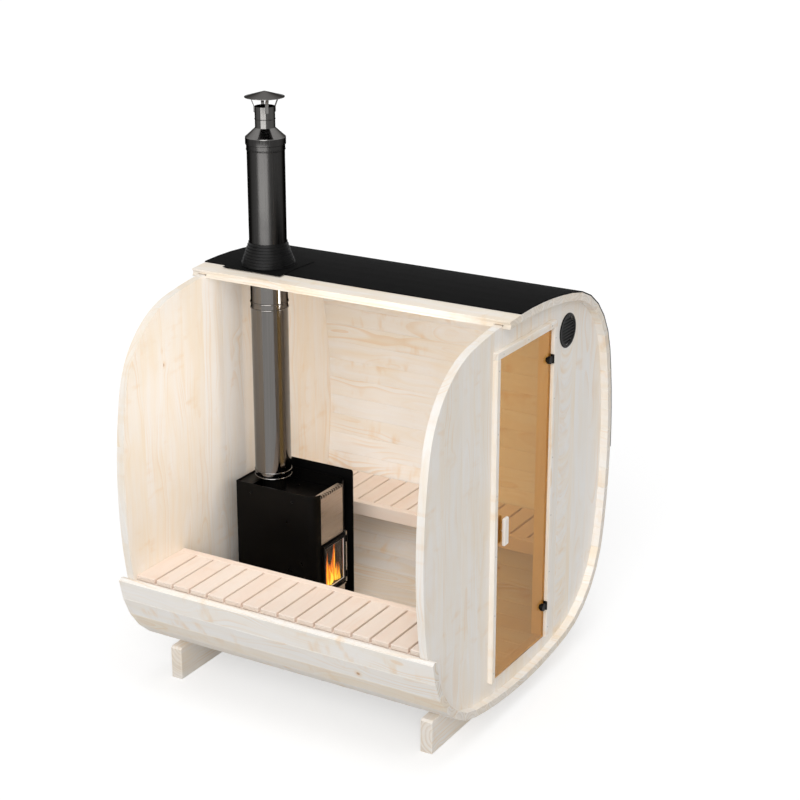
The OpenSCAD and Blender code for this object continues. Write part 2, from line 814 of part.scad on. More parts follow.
module fire_door_frame() {
    w = fire_frame_w;
    x = fire_door_x;
    color(bright_steel) {
        difference() {
            box(-x, x, fire_door_y0, fire_door_y1, fire_door_z0, fire_door_z1);
            box(-x + w, x - w, fire_door_y0 - 1, fire_door_y1 + 1, fire_door_z0 + w, fire_door_z1 - w);
        }
        for (z = [fire_door_z0 + 12, fire_door_z1 - 12 - knuckle_h]) difference() {
            union() {
                translate([rod_x, rod_y, z]) cylinder(r = knuckle_r, h = knuckle_h);
                box(x - 1, rod_x, rod_y - 3, rod_y + 3, z, z + knuckle_h);
            }
            translate([rod_x, rod_y, z - 1]) cylinder(r = rod_r + pin_clear, h = knuckle_h + 2);
        }
    }
}

module fire_door_glass() {
    w = fire_frame_w + seat;
    y = fire_door_y1 - fire_glass_t;
    color("#3a3532", 0.5) box(w - fire_door_x, fire_door_x - w, y, y + fire_glass_t,
        fire_door_z0 + w, fire_door_z1 - w);
}

// A length of insulated pipe with rolled rings at the given heights
module pipe_length(z0, z1, rings) {
    translate([0, pipe_y, 0]) rotate_extrude() {
        translate([flue_r, z0]) square([pipe_r - flue_r, z1 - z0]);
        for (z = rings) translate([pipe_r - 5, z]) square([5 + ring_out, ring_h]);
    }
}
module flue_pipe() {
    color(bright_steel) pipe_length(pipe_z0, pipe_joint_z, [pipe_z0, pipe_z0 + 34, pipe_joint_z - ring_h]);
}
module chimney_pipe() {
    color(dark_steel) pipe_length(pipe_joint_z, pipe_top_z, [pipe_joint_z + 24, pipe_top_z - ring_h]);
}

module chimney_reducer() {
    r = pipe_r + 7;
    low_r = pipe_r + 2;
    color(dark_steel) translate([0, pipe_y, 0]) rotate_extrude() polygon([
        [flue_r, band_z], [low_r, band_z], [low_r, band_z + band_h / 3], [r, band_z + band_h / 3 + 3],
        [r, cone_z - 4], [r - 4, cone_z], [flue_r + stub_wall, stub_z], [flue_r, stub_z]]);
}

module chimney_stub() {
    color(dark_steel) translate([0, pipe_y, 0]) rotate_extrude() {
        translate([flue_r, stub_z]) square([stub_wall, stub_h]);
        translate([flue_r + 1, stub_z + stub_h * 0.38]) square([stub_wall + 1, 6]);
    }
}

// The cone and the four straps that hold it over the flue
module rain_cap() {
    r = cap_d / 2;
    foot_r = flue_r + stub_wall + seat;
    top_r = r * 0.72;
    strap_t = 4;
    strap_w = 18;
    under = cap_z + (r - top_r) * cap_slope;
    color(dark_steel) translate([0, pipe_y, 0]) {
        rotate_extrude() polygon([[0, cap_z + cap_h], [r, cap_z], [r, cap_z + cap_t], [0, cap_z + cap_h + cap_t]]);
        for (a = [45:90:315]) rotate([0, 0, a]) translate([0, strap_w / 2, 0]) rotate([90, 0, 0])
            linear_extrude(height = strap_w) polygon([[foot_r, stub_top - 32], [foot_r + strap_t, stub_top - 32],
                [foot_r + strap_t, stub_top], [top_r + strap_t, under + 1], [top_r, under + 1], [foot_r, stub_top]]);
    }
}

floor_staves();
left_staves();
roof_staves();
shoulder_staves();
right_staves();
lower_right_staves();
back_wall();
front_wall_left();
front_wall_right();
front_wall_head();
front_wall_sill();
front_cradle();
back_cradle();
roof_felt();
flashing_plate();
pipe_boot();
door_casing();
door_lining();
hinge_brackets();
door_glass();
door_hinges();
door_handle();
wall_vent();
left_bench_slats();
left_bench_edge();
left_bench_bearers();
right_bench_slats();
right_bench_edge();
right_bench_bearers();
stove_base();
stove_jacket();
stove_back();
stove_front_plate();
stove_front_frame();
ash_pan_front();
firebox();
stove_crown();
side_shield();
fire_door_rod();
fire_door_frame();
fire_door_glass();
flue_pipe();
chimney_pipe();
chimney_reducer();
chimney_stub();
rain_cap();
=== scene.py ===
"""Looks of the square-round barrel sauna: boards, fittings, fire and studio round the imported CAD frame."""

import math
import random

import bmesh
import bpy
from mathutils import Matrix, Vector


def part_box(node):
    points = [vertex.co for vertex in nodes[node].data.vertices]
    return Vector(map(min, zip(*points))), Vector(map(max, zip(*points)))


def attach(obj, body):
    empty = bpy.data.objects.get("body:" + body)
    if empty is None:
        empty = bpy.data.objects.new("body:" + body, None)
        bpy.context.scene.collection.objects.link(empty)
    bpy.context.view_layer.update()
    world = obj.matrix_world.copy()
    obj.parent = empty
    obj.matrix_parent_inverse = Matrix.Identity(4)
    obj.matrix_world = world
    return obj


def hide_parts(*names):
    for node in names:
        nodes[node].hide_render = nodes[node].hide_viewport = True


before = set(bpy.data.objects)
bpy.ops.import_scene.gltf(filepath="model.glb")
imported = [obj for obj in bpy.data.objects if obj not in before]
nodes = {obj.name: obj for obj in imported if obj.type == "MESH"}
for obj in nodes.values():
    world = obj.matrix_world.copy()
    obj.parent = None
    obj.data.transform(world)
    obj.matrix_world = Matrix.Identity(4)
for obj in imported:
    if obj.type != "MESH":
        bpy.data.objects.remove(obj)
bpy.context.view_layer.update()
SEED = 23
rng = random.Random(SEED)

# Sizes of the CAD model, in metres
HALF_W = 1.070
HALF_H = 1.090
HALF_LEN = 1.000
BOW_R = 2.900
CORNER_R = 0.587
STAVE_COUNT = 59
STAVE_T = 0.044
STAVE_GAP = 0.0004
BEAD_R = 0.012
BEAD_OUT = 0.009
SEAT = 0.0003
CRADLE_RISE = 0.105
MID_Z = CRADLE_RISE + HALF_H
WALL_T = 0.045
WALL_FRONT = -0.955
FRONT_INSIDE = WALL_FRONT + WALL_T
BACK_INSIDE = 0.910
WALL_BACK = BACK_INSIDE + WALL_T
GROOVE_DEPTH = 0.020
OPENING_X = 0.327
SILL_Z = 0.261
HEAD_Z = 2.109
BENCH_TOP = 0.705
SLAT_COUNT = 16
SLAT_BACK = 0.127
SLAT_FRONT = 0.079
SLAT_GAP = 0.014
SLAT_T = 0.028
VENT = (0.530, 2.015)
VENT_HOLE_R = 0.0765
PIPE_Y = 0.650
ROOF_HOLE_R = 0.1085

# The section: four bows joined by tangent corner arcs
BOW_SIDE = Vector((HALF_W - BOW_R, 0.0))
BOW_TOP = Vector((0.0, HALF_H - BOW_R))
BOW_SPAN = (BOW_TOP - BOW_SIDE).length
BOW_NORMAL = Vector((BOW_TOP.y - BOW_SIDE.y, BOW_SIDE.x - BOW_TOP.x)) / -BOW_SPAN
BOW_REACH = math.sqrt((BOW_R - CORNER_R) ** 2 - (BOW_SPAN / 2) ** 2)
CORNER_C = (BOW_SIDE + BOW_TOP) / 2 + BOW_NORMAL * BOW_REACH
ANGLE_TOP = math.atan2(CORNER_C.x, CORNER_C.y - BOW_TOP.y)
ANGLE_SIDE = math.atan2(CORNER_C.y, CORNER_C.x - BOW_SIDE.x)
LEN_TOP = BOW_R * ANGLE_TOP
LEN_CORNER = CORNER_R * (math.pi / 2 - ANGLE_TOP - ANGLE_SIDE)
QUARTER = LEN_TOP + LEN_CORNER + BOW_R * ANGLE_SIDE
PITCH = 4 * QUARTER / STAVE_COUNT
SAGITTA = PITCH**2 / (8 * CORNER_R)
WALL_INSET = STAVE_T - GROOVE_DEPTH + SAGITTA + SEAT
# Signs of the width and the height in the four quarters, from the floor's middle to the left
QUARTER_SIGNS = [(-1, 1), (-1, -1), (1, -1), (1, 1)]


def rim(s, out=0.0):
    """A point of the barrel's outside at arc length s from the floor's middle to the left, moved outwards."""
    s = s % (4 * QUARTER)
    turn = QUARTER_SIGNS[min(3, int(s / QUARTER))]
    fold = s % QUARTER if int(s / QUARTER) % 2 == 0 else QUARTER - s % QUARTER
    if fold < LEN_TOP:
        lean = fold / BOW_R
        centre = Vector((0.0, BOW_R - HALF_H))
        radius = BOW_R
    elif fold < LEN_TOP + LEN_CORNER:
        lean = ANGLE_TOP + (fold - LEN_TOP) / CORNER_R
        centre = Vector((CORNER_C.x, -CORNER_C.y))
        radius = CORNER_R
    else:
        lean = math.pi / 2 - ANGLE_SIDE + (fold - LEN_TOP - LEN_CORNER) / BOW_R
        centre = BOW_SIDE
        radius = BOW_R
    p = centre + (radius + out) * Vector((math.sin(lean), -math.cos(lean)))
    return Vector((p.x * turn[0], MID_Z + p.y * turn[1]))


def joint(k, out=0.0):
    """The joint before stave k, on the barrel's outside."""
    return rim((k - 0.5) * PITCH, out)


# Meshes

# Points closer than this are one point
MERGE = 1e-6
# A face that spreads less than this along the grain is cut square across it
END_SPREAD = 0.0005
# Where in the trunk a board is cut: how far along, beside the pith and away from it
GRAIN_RUN = 60.0
PITH_ASIDE = 0.055
PITH_DEPTH = (0.035, 0.110)
# Keeps the corners of an inset outline from running far out
MITRE_LIMIT = 0.3
AXES = {"x": Vector((1, 0, 0)), "y": Vector((0, 1, 0)), "z": Vector((0, 0, 1))}


def face_outwards(mesh, merge=False):
    """Turns the faces of closed pieces outwards, and may first merge points that coincide."""
    bm = bmesh.new()
    bm.from_mesh(mesh)
    if merge:
        bmesh.ops.remove_doubles(bm, verts=bm.verts, dist=MERGE)
        bmesh.ops.dissolve_degenerate(bm, edges=bm.edges, dist=MERGE)
    bmesh.ops.recalc_face_normals(bm, faces=bm.faces)
    bm.to_mesh(mesh)
    bm.free()


def place(obj, material, body, node=None):
    """Puts a piece in the scene, on its body, for the node that it stands for."""
    bpy.context.scene.collection.objects.link(obj)
    obj.data.materials.append(material)
    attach(obj, body)
    if node:
        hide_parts(node)
    return obj


class Boards:
    """Collects closed boards into one mesh, with grain coordinates and a tone for each board."""

    def __init__(self):
        self.verts = []
        self.faces = []
        self.grain = []
        self.tone = []

    def add(self, verts, faces, along, across, tone=None):
        """Grain coordinates run along the board, across it and through it, from a pith beside the board."""
        along = Vector(along).normalized()
        across = Vector(across).normalized()
        through = along.cross(across)
        middle = sum((Vector(v) for v in verts), Vector()) / len(verts)
        start = rng.uniform(0.0, GRAIN_RUN)
        side = rng.uniform(-PITH_ASIDE, PITH_ASIDE)
        deep = rng.choice((-1, 1)) * rng.uniform(*PITH_DEPTH)
        tone = rng.random() if tone is None else tone
        base = len(self.verts)
        for v in verts:
            p = Vector(v) - middle
            self.verts.append(tuple(v))
            self.grain.append((start + p.dot(along), side + p.dot(across), deep + p.dot(through)))
            self.tone.append(tone)
        self.faces.extend([tuple(base + i for i in f) for f in faces])

    def make(self, name, material, body="sauna", node=None, slot=None):
        mesh = bpy.data.meshes.new(name)
        mesh.from_pydata(self.verts, [], self.faces)
        grain = mesh.attributes.new("grain", "FLOAT_VECTOR", "POINT")
        grain.data.foreach_set("vector", [c for g in self.grain for c in g])
        tone = mesh.attributes.new("tone", "FLOAT", "POINT")
        tone.data.foreach_set("value", self.tone)
        face_outwards(mesh, merge=True)
        self.mark_ends(mesh)
        return place(bpy.data.objects.new(name, mesh), material, body, node)

    def mark_ends(self, mesh):
        """Marks the faces that are cut square across the grain."""
        grain = mesh.attributes["grain"].data
        ends = []
        for face in mesh.polygons:
            along = [grain[v].vector.x for v in face.vertices]
            ends.append(1.0 if max(along) - min(along) < END_SPREAD else 0.0)
        mesh.attributes.new("end_grain", "FLOAT", "FACE").data.foreach_set("value", ends)


def rings_to_faces(count, size, capped=True):
    """Faces between so many rings of that many points, with a cap at each end or closed to a hoop."""
    faces = [tuple(range(size - 1, -1, -1))] if capped else []
    for i in range(count - 1 if capped else count):
        m = (i + 1) % count
        for j in range(size):
            n = (j + 1) % size
            faces.append((i * size + j, i * size + n, m * size + n, m * size + j))
    if capped:
        faces.append(tuple((count - 1) * size + j for j in range(size)))
    return faces


def inset(profile, d):
    """The outline moved inwards by d; it runs anticlockwise."""
    out = []
    n = len(profile)
    for i in range(n):
        a, b, c = Vector(profile[i - 1]), Vector(profile[i]), Vector(profile[(i + 1) % n])
        e = (b - a).normalized()
        f = (c - b).normalized()
        m = Vector((-e.y - f.y, e.x + f.x))
        out.append(b + m * (d / max(MITRE_LIMIT, 1 + e.dot(f))))
    return out


def area(profile):
    """Twice the outline's area, below nothing where it runs clockwise."""
    pairs = [(profile[i - 1], profile[i]) for i in range(len(profile))]
    return sum(a[0] * b[1] - b[0] * a[1] for a, b in pairs)


def prism(axis, profile, a0, a1, bevel):
    """Vertices and faces of a bar along an axis, its ends bevelled. The outline gives the other two axes."""
    points = [Vector(p) for p in profile]
    if area(points) < 0:
        points.reverse()
    small = inset(points, bevel)
    verts = []
    for ring, a in ((small, a0), (points, a0 + bevel), (points, a1 - bevel), (small, a1)):
        for p in ring:
            verts.append({"x": (a, p.x, p.y), "y": (p.x, a, p.y), "z": (p.x, p.y, a)}[axis])
    return verts, rings_to_faces(4, len(points))


def circle(u, v, radius, turns):
    """Points of a circle round (u, v)."""
    angles = [2 * math.pi * i / turns for i in range(turns)]
    return [(u + radius * math.cos(a), v + radius * math.sin(a)) for a in angles]


def round_rect(u0, u1, v0, v1, r, steps=3):
    """A rectangle with rounded corners."""
    corners = ((u1 - r, v0 + r, -90), (u1 - r, v1 - r, 0), (u0 + r, v1 - r, 90), (u0 + r, v0 + r, 180))
    out = []
    for cu, cv, start in corners:
        for i in range(steps + 1):
            a = math.radians(start + 90 * i / steps)
            out.append(Vector((cu + r * math.cos(a), cv + r * math.sin(a))))
    return out


def plank(lot, axis, x, y, z, r, tone=None):
    """A board with rounded edges, its grain along the axis."""
    spans = {"x": x, "y": y, "z": z}
    u, v = [a for a in "xyz" if a != axis]
    profile = round_rect(*spans[u], *spans[v], r)
    verts, faces = prism(axis, profile, *spans[axis], r)
    wide = max((u, v), key=lambda a: spans[a][1] - spans[a][0])
    lot.add(verts, faces, AXES[axis], AXES[wide], tone)


# Staves

STAVE_CHAMFER = 0.0019
STAVE_END_BEVEL = 0.0016
ARC_STEPS = 10


def edge_way(k):
    """The direction along the section at joint k."""
    return (joint(k + 1) - joint(k - 1)).normalized()


def edge_mid(k):
    """The middle of the stave's thickness at joint k."""
    return (joint(k) + joint(k, -STAVE_T)) / 2


def bead_arc(k, radius):
    """Points of the bead at joint k, from the outside inwards."""
    way = edge_way(k)
    deep = (joint(k, -STAVE_T) - joint(k)).normalized()
    back = BEAD_R - BEAD_OUT
    half = math.acos(back / radius)
    centre = edge_mid(k) - way * back
    angles = [half - 2 * half * i / ARC_STEPS for i in range(ARC_STEPS + 1)]
    return [centre + way * radius * math.cos(a) - deep * radius * math.sin(a) for a in angles]


def stave_profile(k):
    """The outline of stave k with its bead and its cove, its first corner and its direction."""
    way_a = edge_way(k) * STAVE_GAP / 2
    way_b = edge_way(k + 1) * STAVE_GAP / 2
    a, b = joint(k) + way_a, joint(k + 1) - way_b
    c, d = joint(k + 1, -STAVE_T) - way_b, joint(k, -STAVE_T) + way_a
    w = STAVE_CHAMFER
    along = (b - a).normalized()
    left = (d - a).normalized()
    right = (c - b).normalized()
    points = [a + left * w, a + along * w, b - along * w, b + right * w]
    points += [p - way_b for p in bead_arc(k + 1, BEAD_R)]
    points += [c - right * w, c - along * w, d + along * w, d - left * w]
    points += [p + way_a for p in reversed(bead_arc(k, BEAD_R + STAVE_GAP))]
    return points, a, along


def stave(lot, k, tone):
    """Stave k, with the grooves that hold the end walls."""
    points, start, along = stave_profile(k)
    deep = Vector((-along.y, along.x))
    if deep.dot(Vector((0, MID_Z)) - start) < 0:
        deep = -deep
    floor = STAVE_T - GROOVE_DEPTH
    cut = []
    for p in points:
        depth = (p - start).dot(deep)
        cut.append(p - deep * max(0.0, depth - floor))
    if area(points) < 0:
        points.reverse()
        cut.reverse()
    small = inset(points, STAVE_END_BEVEL)
    rings = [(small, -HALF_LEN), (points, -HALF_LEN + STAVE_END_BEVEL)]
    for y in (WALL_FRONT, BACK_INSIDE):
        y0 = y - SEAT
        y1 = y + WALL_T + SEAT
        rings += [(points, y0), (cut, y0), (cut, y1), (points, y1)]
    rings += [(points, HALF_LEN - STAVE_END_BEVEL), (small, HALF_LEN)]
    verts = [(p.x, y, p.y) for ring, y in rings for p in ring]
    faces = rings_to_faces(len(rings), len(points))
    lot.add(verts, faces, (0, 1, 0), (along.x, 0, along.y), tone)


# End walls of upright boards

WALL_BOARD = 0.187
WALL_BOARD_GAP = 0.0002
WALL_CHAMFER = 0.0005
WALL_SAMPLES = 720
# Points of the outline this close to a board's edge are left out
WALL_POINT_CLEAR = 0.002
# Boards narrower than this are left out
WALL_NARROWEST = 0.006
# Beyond the wall's reach
FAR = 9.0
wall_points = [rim(4 * QUARTER * i / WALL_SAMPLES, -WALL_INSET) for i in range(WALL_SAMPLES)]
wall_line = [p for p in sorted((p.x, p.y - MID_Z) for p in wall_points) if p[1] >= 0]
WALL_X = max(p[0] for p in wall_line)


def wall_half_height(x):
    """Half the height of the end wall at x."""
    x = max(-WALL_X, min(WALL_X, x))
    for a, b in zip(wall_line, wall_line[1:]):
        if a[0] <= x <= b[0]:
            t = 0 if a[0] == b[0] else (x - a[0]) / (b[0] - a[0])
            return a[1] + t * (b[1] - a[1])
    return 0.0


def wall_board(lot, x0, x1, y0, y1, low, high, tone):
    """One upright board whose ends follow the wall's outline, with a small chamfer along both sides."""
    w = WALL_CHAMFER
    clear = w + WALL_POINT_CLEAR
    xs = sorted({x0, x0 + w, x1 - w, x1} | {p[0] for p in wall_line if x0 + clear < p[0] < x1 - clear})
    verts = []
    for x in xs:
        half = wall_half_height(x)
        z0 = max(low, MID_Z - half)
        z1 = min(high, MID_Z + half)
        back = w if x in (x0, x1) else 0.0
        verts += [(x, y0 + back, z0), (x, y1 - back, z0), (x, y1 - back, z1), (x, y0 + back, z1)]
    lot.add(verts, rings_to_faces(len(xs), 4), (0, 0, 1), (1, 0, 0), tone)


def wall_boards(lot, y0, y1, x_low, x_high, low, high):
    """The boards between two widths and two heights, in step over the whole wall."""
    count = int(2 * WALL_X / WALL_BOARD) + 2
    for i in range(-count, count):
        x0 = (i - 0.5) * WALL_BOARD
        a = max(x0 + WALL_BOARD_GAP / 2, x_low)
        b = min(x0 + WALL_BOARD - WALL_BOARD_GAP / 2, x_high)
        if b - a > WALL_NARROWEST:
            wall_board(lot, a, b, y0, y1, low, high, rng.random())


# Shader graphs

SOCKETS = {
    "colour": "Base Color",
    "metal": "Metallic",
    "rough": "Roughness",
    "ior": "IOR",
    "clear": "Transmission Weight",
    "glow": "Emission Color",
    "glow_power": "Emission Strength",
    "alpha": "Alpha",
    "specular": "Specular IOR Level",
    "tint": "Specular Tint",
    "brushed": "Anisotropic",
}


class Graph:
    """A material made of nodes, with short names for the nodes it uses most."""

    def __init__(self, name):
        self.material = bpy.data.materials.new(name)
        self.material.use_nodes = True
        self.nodes = self.material.node_tree.nodes
        self.links = self.material.node_tree.links
        self.shader = self.nodes["Principled BSDF"]

    def put(self, socket, value):
        if isinstance(value, bpy.types.NodeSocket):
            self.links.new(value, socket)
        else:
            socket.default_value = value

    def make(self, kind, inputs, **settings):
        node = self.nodes.new(kind)
        for key, value in settings.items():
            setattr(node, key, value)
        for key, value in inputs.items():
            self.put(node.inputs[key], value)
        return node

    def math(self, operation, a, b=0.0):
        return self.make("ShaderNodeMath", {0: a, 1: b}, operation=operation).outputs[0]

    def times(self, a, b):
        return self.math("MULTIPLY", a, b)

    def plus(self, a, b):
        return self.math("ADD", a, b)

    def vector(self, operation, a, b):
        return self.make("ShaderNodeVectorMath", {0: a, 1: b}, operation=operation).outputs[0]

    def split(self, vector):
        return self.make("ShaderNodeSeparateXYZ", {0: vector}).outputs

    def join(self, x, y, z):
        return self.make("ShaderNodeCombineXYZ", {0: x, 1: y, 2: z}).outputs[0]

    def attribute(self, name, out="Fac"):
        return self.make("ShaderNodeAttribute", {}, attribute_name=name).outputs[out]

    def noise(self, vector, scale, detail=2.0, roughness=0.5, out="Fac"):
        inputs = {"Vector": vector, "Scale": scale, "Detail": detail, "Roughness": roughness}
        return self.make("ShaderNodeTexNoise", inputs).outputs[out]

    def stretched(self, axes, stretch, detail, roughness=0.5, out="Fac"):
        """Noise over three axes, with its own scale on each."""
        vector = self.join(*[self.times(axis, by) for axis, by in zip(axes, stretch)])
        return self.noise(vector, 1.0, detail, roughness, out)

    def fit(self, value, a, b, c=0.0, d=1.0, smooth=True):
        """Takes the range a to b to the range c to d."""
        kind = "SMOOTHSTEP" if smooth else "LINEAR"
        inputs = {"Value": value, "From Min": a, "From Max": b, "To Min": c, "To Max": d}
        return self.make("ShaderNodeMapRange", inputs, interpolation_type=kind).outputs[0]

    def ramp(self, value, stops):
        node = self.make("ShaderNodeValToRGB", {0: value})
        ends = node.color_ramp.elements
        for i, (place_at, colour) in enumerate(stops):
            stop = ends[i] if i < 2 else ends.new(place_at)
            stop.position = place_at
            stop.color = (*colour, 1.0)
        return node.outputs[0]

    def mix(self, factor, a, b):
        node = self.make("ShaderNodeMix", {}, data_type="RGBA", blend_type="MIX")
        self.put(node.inputs[0], factor)
        for i, c in ((6, a), (7, b)):
            self.put(node.inputs[i], (*c, 1.0) if isinstance(c, tuple) and len(c) == 3 else c)
        return node.outputs[2]

    def bump(self, height, distance, strength):
        inputs = {"Height": height, "Distance": distance, "Strength": strength}
        self.put(self.shader.inputs["Normal"], self.make("ShaderNodeBump", inputs).outputs[0])

    def place(self):
        return self.make("ShaderNodeTexCoord", {}).outputs["Object"]

    def set(self, **values):
        for key, value in values.items():
            if isinstance(value, tuple) and len(value) == 3:
                value = (*value, 1.0)
            self.put(self.shader.inputs[SOCKETS[key]], value)


# Wood

PALE = (0.910, 0.872, 0.825)
HONEY = (0.890, 0.785, 0.645)
LATE = (0.810, 0.565, 0.320)
KNOT = (0.480, 0.240, 0.090)
COOL = (0.870, 0.866, 0.858)
END_GRAIN = (0.560, 0.480, 0.390)
ASPEN_PALE = (0.870, 0.765, 0.680)
ASPEN_HONEY = (0.860, 0.710, 0.605)
ASPEN_LATE = (0.780, 0.540, 0.390)
LINING_PALE = (0.920, 0.820, 0.600)
LINING_HONEY = (0.910, 0.770, 0.500)
HANDLE_PALE = (0.915, 0.875, 0.830)
HANDLE_HONEY = (0.890, 0.830, 0.750)
# Knots: cells to the metre, and how far the core, the halo and the swollen rings reach in a cell
KNOT_CELLS = 4.4
KNOT_CORE = (0.060, 0.030)
KNOT_HALO = (0.150, 0.040)
KNOT_REACH = 0.36
KNOT_SWELL = 0.020
# Rings: how far the pith wanders, the grain's slope, the dark part of a ring and the wide warm bands
PITH_DRIFT = (0.0, 0.16, 0.20)
GRAIN_SLOPE = 0.010
UNEVEN_SCALE = 40.0
RING_UNEVEN = 2.0
RING_DARKENS = (0.45, 0.90)
RING_ENDS = (1.0, 0.93)
BAND = 0.052
BAND_UNEVEN = 9.0
BAND_SHOWS = (-0.6, 1.0)
FULL_TURN = 6.283
# Sets the boards apart in a pattern that would run on from one to the next
BOARDS_APART = 37.0
# How often each pattern repeats along the board, across it and through it or from board to board
DRIFT_STRETCH = (1.3, 2.4, 1.0)
LINE_STRETCH = (1.4, 6.0, BOARDS_APART)
FIBRE_STRETCH = (5.0, 240.0, 240.0)
STREAK_STRETCH = (0.6, 24.0, 24.0)
CURL_STRETCH = (16.0, 7.0, 1.0)
CURL_PLACES = (1.7, 3.0, 1.0)
PATCH_STRETCH = (2.2, 5.0, BOARDS_APART)
# What makes a place warmer: its board, streaks, patches and bands
WARM_TONE = 0.52
WARM_STREAK = 0.40
WARM_PATCH = (-0.10, 0.34)
WARM_BAND = 0.26
WARMTH = (0.15, 1.15)
# Spreads the boards' tones anew, to choose those that look cooler
COOL_SPREAD = 17.3
COOL_BOARDS = (0.50, 0.90)
# How much late wood shows at most in lines, curl, fibre and round knots
LINE_SHARE = (0.05, 0.50)
CURL_SHARE = 0.55
FIBRE_SHARE = 0.07
HALO_SHARE = 0.40
CORE_SHARE = 0.75
END_SHARE = (0.20, 0.42)
WOOD_ROUGH = (0.50, 0.66)
WOOD_RELIEF = 0.00035


def wood_knots(g, grain, share):
    """Core, halo and swelling of the knots, which sit in a share of cells as wide as they are long."""
    cells = g.make("ShaderNodeTexVoronoi", {"Vector": grain, "Scale": KNOT_CELLS}, feature="F1")
    far = cells.outputs["Distance"]
    present = g.math("LESS_THAN", g.split(cells.outputs["Color"])[0], share)
    core = g.times(g.fit(far, *KNOT_CORE), present)
    halo = g.times(g.fit(far, *KNOT_HALO), present)
    swell = g.times(g.fit(far, KNOT_REACH, 0.0, 0.0, KNOT_SWELL), present)
    return core, halo, swell


def wood_radius(g, along, across, through, swell):
    """The place round a pith that wanders along the board, which draws long arches on flat-sawn faces."""
    drift = g.stretched((along, across, through), DRIFT_STRETCH, 2.0, 0.45, "Color")
    drift = g.vector("MULTIPLY", g.vector("SUBTRACT", drift, (0.5, 0.5, 0.5)), PITH_DRIFT)
    drift_y, drift_z = g.split(drift)[1:]
    v = g.plus(across, drift_y)
    w = g.plus(through, drift_z)
    radius = g.math("SQRT", g.plus(g.times(v, v), g.times(w, w)))
    return v, w, g.plus(g.plus(radius, g.times(along, GRAIN_SLOPE)), swell)


def softwood(name, pale, honey, late, figure, knots=0.0, ring_width=0.020, cool=0.0):
    """Planed softwood: growth rings round a wandering pith, knots, fibre, and a tone for each board."""
    g = Graph(name)
    grain = g.attribute("grain", "Vector")
    tone = g.attribute("tone")
    along, across, through = g.split(grain)
    board = (along, across, through)
    knot_core, knot_halo, swell = wood_knots(g, grain, knots)
    v, w, radius = wood_radius(g, along, across, through, swell)
    uneven = g.noise(g.join(radius, 0.0, 0.0), UNEVEN_SCALE, 1.0)
    ring = g.math("FRACT", g.plus(g.times(radius, 1.0 / ring_width), g.times(uneven, RING_UNEVEN)))
    line = g.times(g.fit(ring, *RING_DARKENS), g.fit(ring, *RING_ENDS))
    shown = g.stretched((along, across, tone), LINE_STRETCH, 2.0)
    line = g.times(line, g.fit(shown, 0.46, 0.66, LINE_SHARE[0] * figure, LINE_SHARE[1] * figure))
    band = g.math("SINE", g.plus(g.times(radius, FULL_TURN / BAND), g.times(uneven, BAND_UNEVEN)))
    band = g.fit(band, *BAND_SHOWS)
    # Fibre, streaks, and the curl that shows as smudges across the grain
    fibre = g.stretched(board, FIBRE_STRETCH, 3.0, 0.6)
    streaks = g.stretched((along, v, w), STREAK_STRETCH, 3.0, 0.55)
    curl = g.fit(g.stretched(board, CURL_STRETCH, 2.0), 0.50, 0.78)
    curl = g.times(curl, g.fit(g.stretched(board, CURL_PLACES, 1.0), 0.47, 0.62))
    patch = g.stretched((along, across, tone), PATCH_STRETCH, 2.0)
    warmth = g.plus(g.times(tone, WARM_TONE), g.times(g.fit(streaks, 0.30, 0.75), WARM_STREAK))
    warmth = g.plus(warmth, g.fit(patch, 0.40, 0.66, *WARM_PATCH))
    warmth = g.plus(warmth, g.times(band, WARM_BAND * figure))
    colour = g.mix(g.fit(warmth, *WARMTH, smooth=False), pale, honey)
    lot_tone = g.math("FRACT", g.times(tone, COOL_SPREAD))
    colour = g.mix(g.fit(lot_tone, *COOL_BOARDS, 0.0, cool), colour, COOL)
    colour = g.mix(line, colour, late)
    colour = g.mix(g.times(curl, CURL_SHARE * figure), colour, late)
    colour = g.mix(g.fit(fibre, 0.45, 0.78, 0.0, FIBRE_SHARE), colour, late)
    colour = g.mix(g.times(knot_halo, HALO_SHARE), colour, late)
    colour = g.mix(g.times(knot_core, CORE_SHARE), colour, KNOT)
    end = g.times(g.attribute("end_grain"), g.fit(ring, 0.2, 0.9, *END_SHARE))
    colour = g.mix(end, colour, END_GRAIN)
    rough = g.plus(g.fit(fibre, 0.2, 0.8, *WOOD_ROUGH), g.times(line, -0.10))
    g.set(colour=colour, specular=0.35, rough=rough)
    g.bump(g.plus(g.times(line, 0.7), g.times(fibre, 0.6)), WOOD_RELIEF, 0.6)
    return g.material


spruce = softwood("spruce", PALE, HONEY, LATE, figure=0.9, knots=0.13, ring_width=0.024, cool=0.36)
wall_spruce = softwood("wall_spruce", PALE, HONEY, LATE, figure=0.62, knots=0.18, ring_width=0.026, cool=0.36)
aspen = softwood("aspen", ASPEN_PALE, ASPEN_HONEY, ASPEN_LATE, figure=0.40)
lining_wood = softwood("lining_wood", LINING_PALE, LINING_HONEY, LATE, figure=0.8)
handle_wood = softwood("handle_wood", HANDLE_PALE, HANDLE_HONEY, LATE, figure=0.6)

# Felt, rubber, paint, steel and glass


def mineral_felt():
    g = Graph("mineral_felt")
    at = g.place()
    grit = g.noise(at, scale=900.0, detail=2.0, roughness=0.7)
    waves = g.noise(at, scale=3.5, detail=3.0)
    colour = g.ramp(grit, [(0.30, (0.002, 0.002, 0.002)), (0.75, (0.0085, 0.0085, 0.0086))])
    colour = g.mix(g.fit(waves, 0.4, 0.8, 0.0, 0.35), colour, (0.006, 0.006, 0.006))
    g.set(colour=colour, rough=g.fit(grit, 0.2, 0.8, 0.72, 0.95), specular=0.03)
    g.bump(g.plus(grit, g.times(waves, 3.0)), distance=0.0010, strength=0.7)
    return g.material


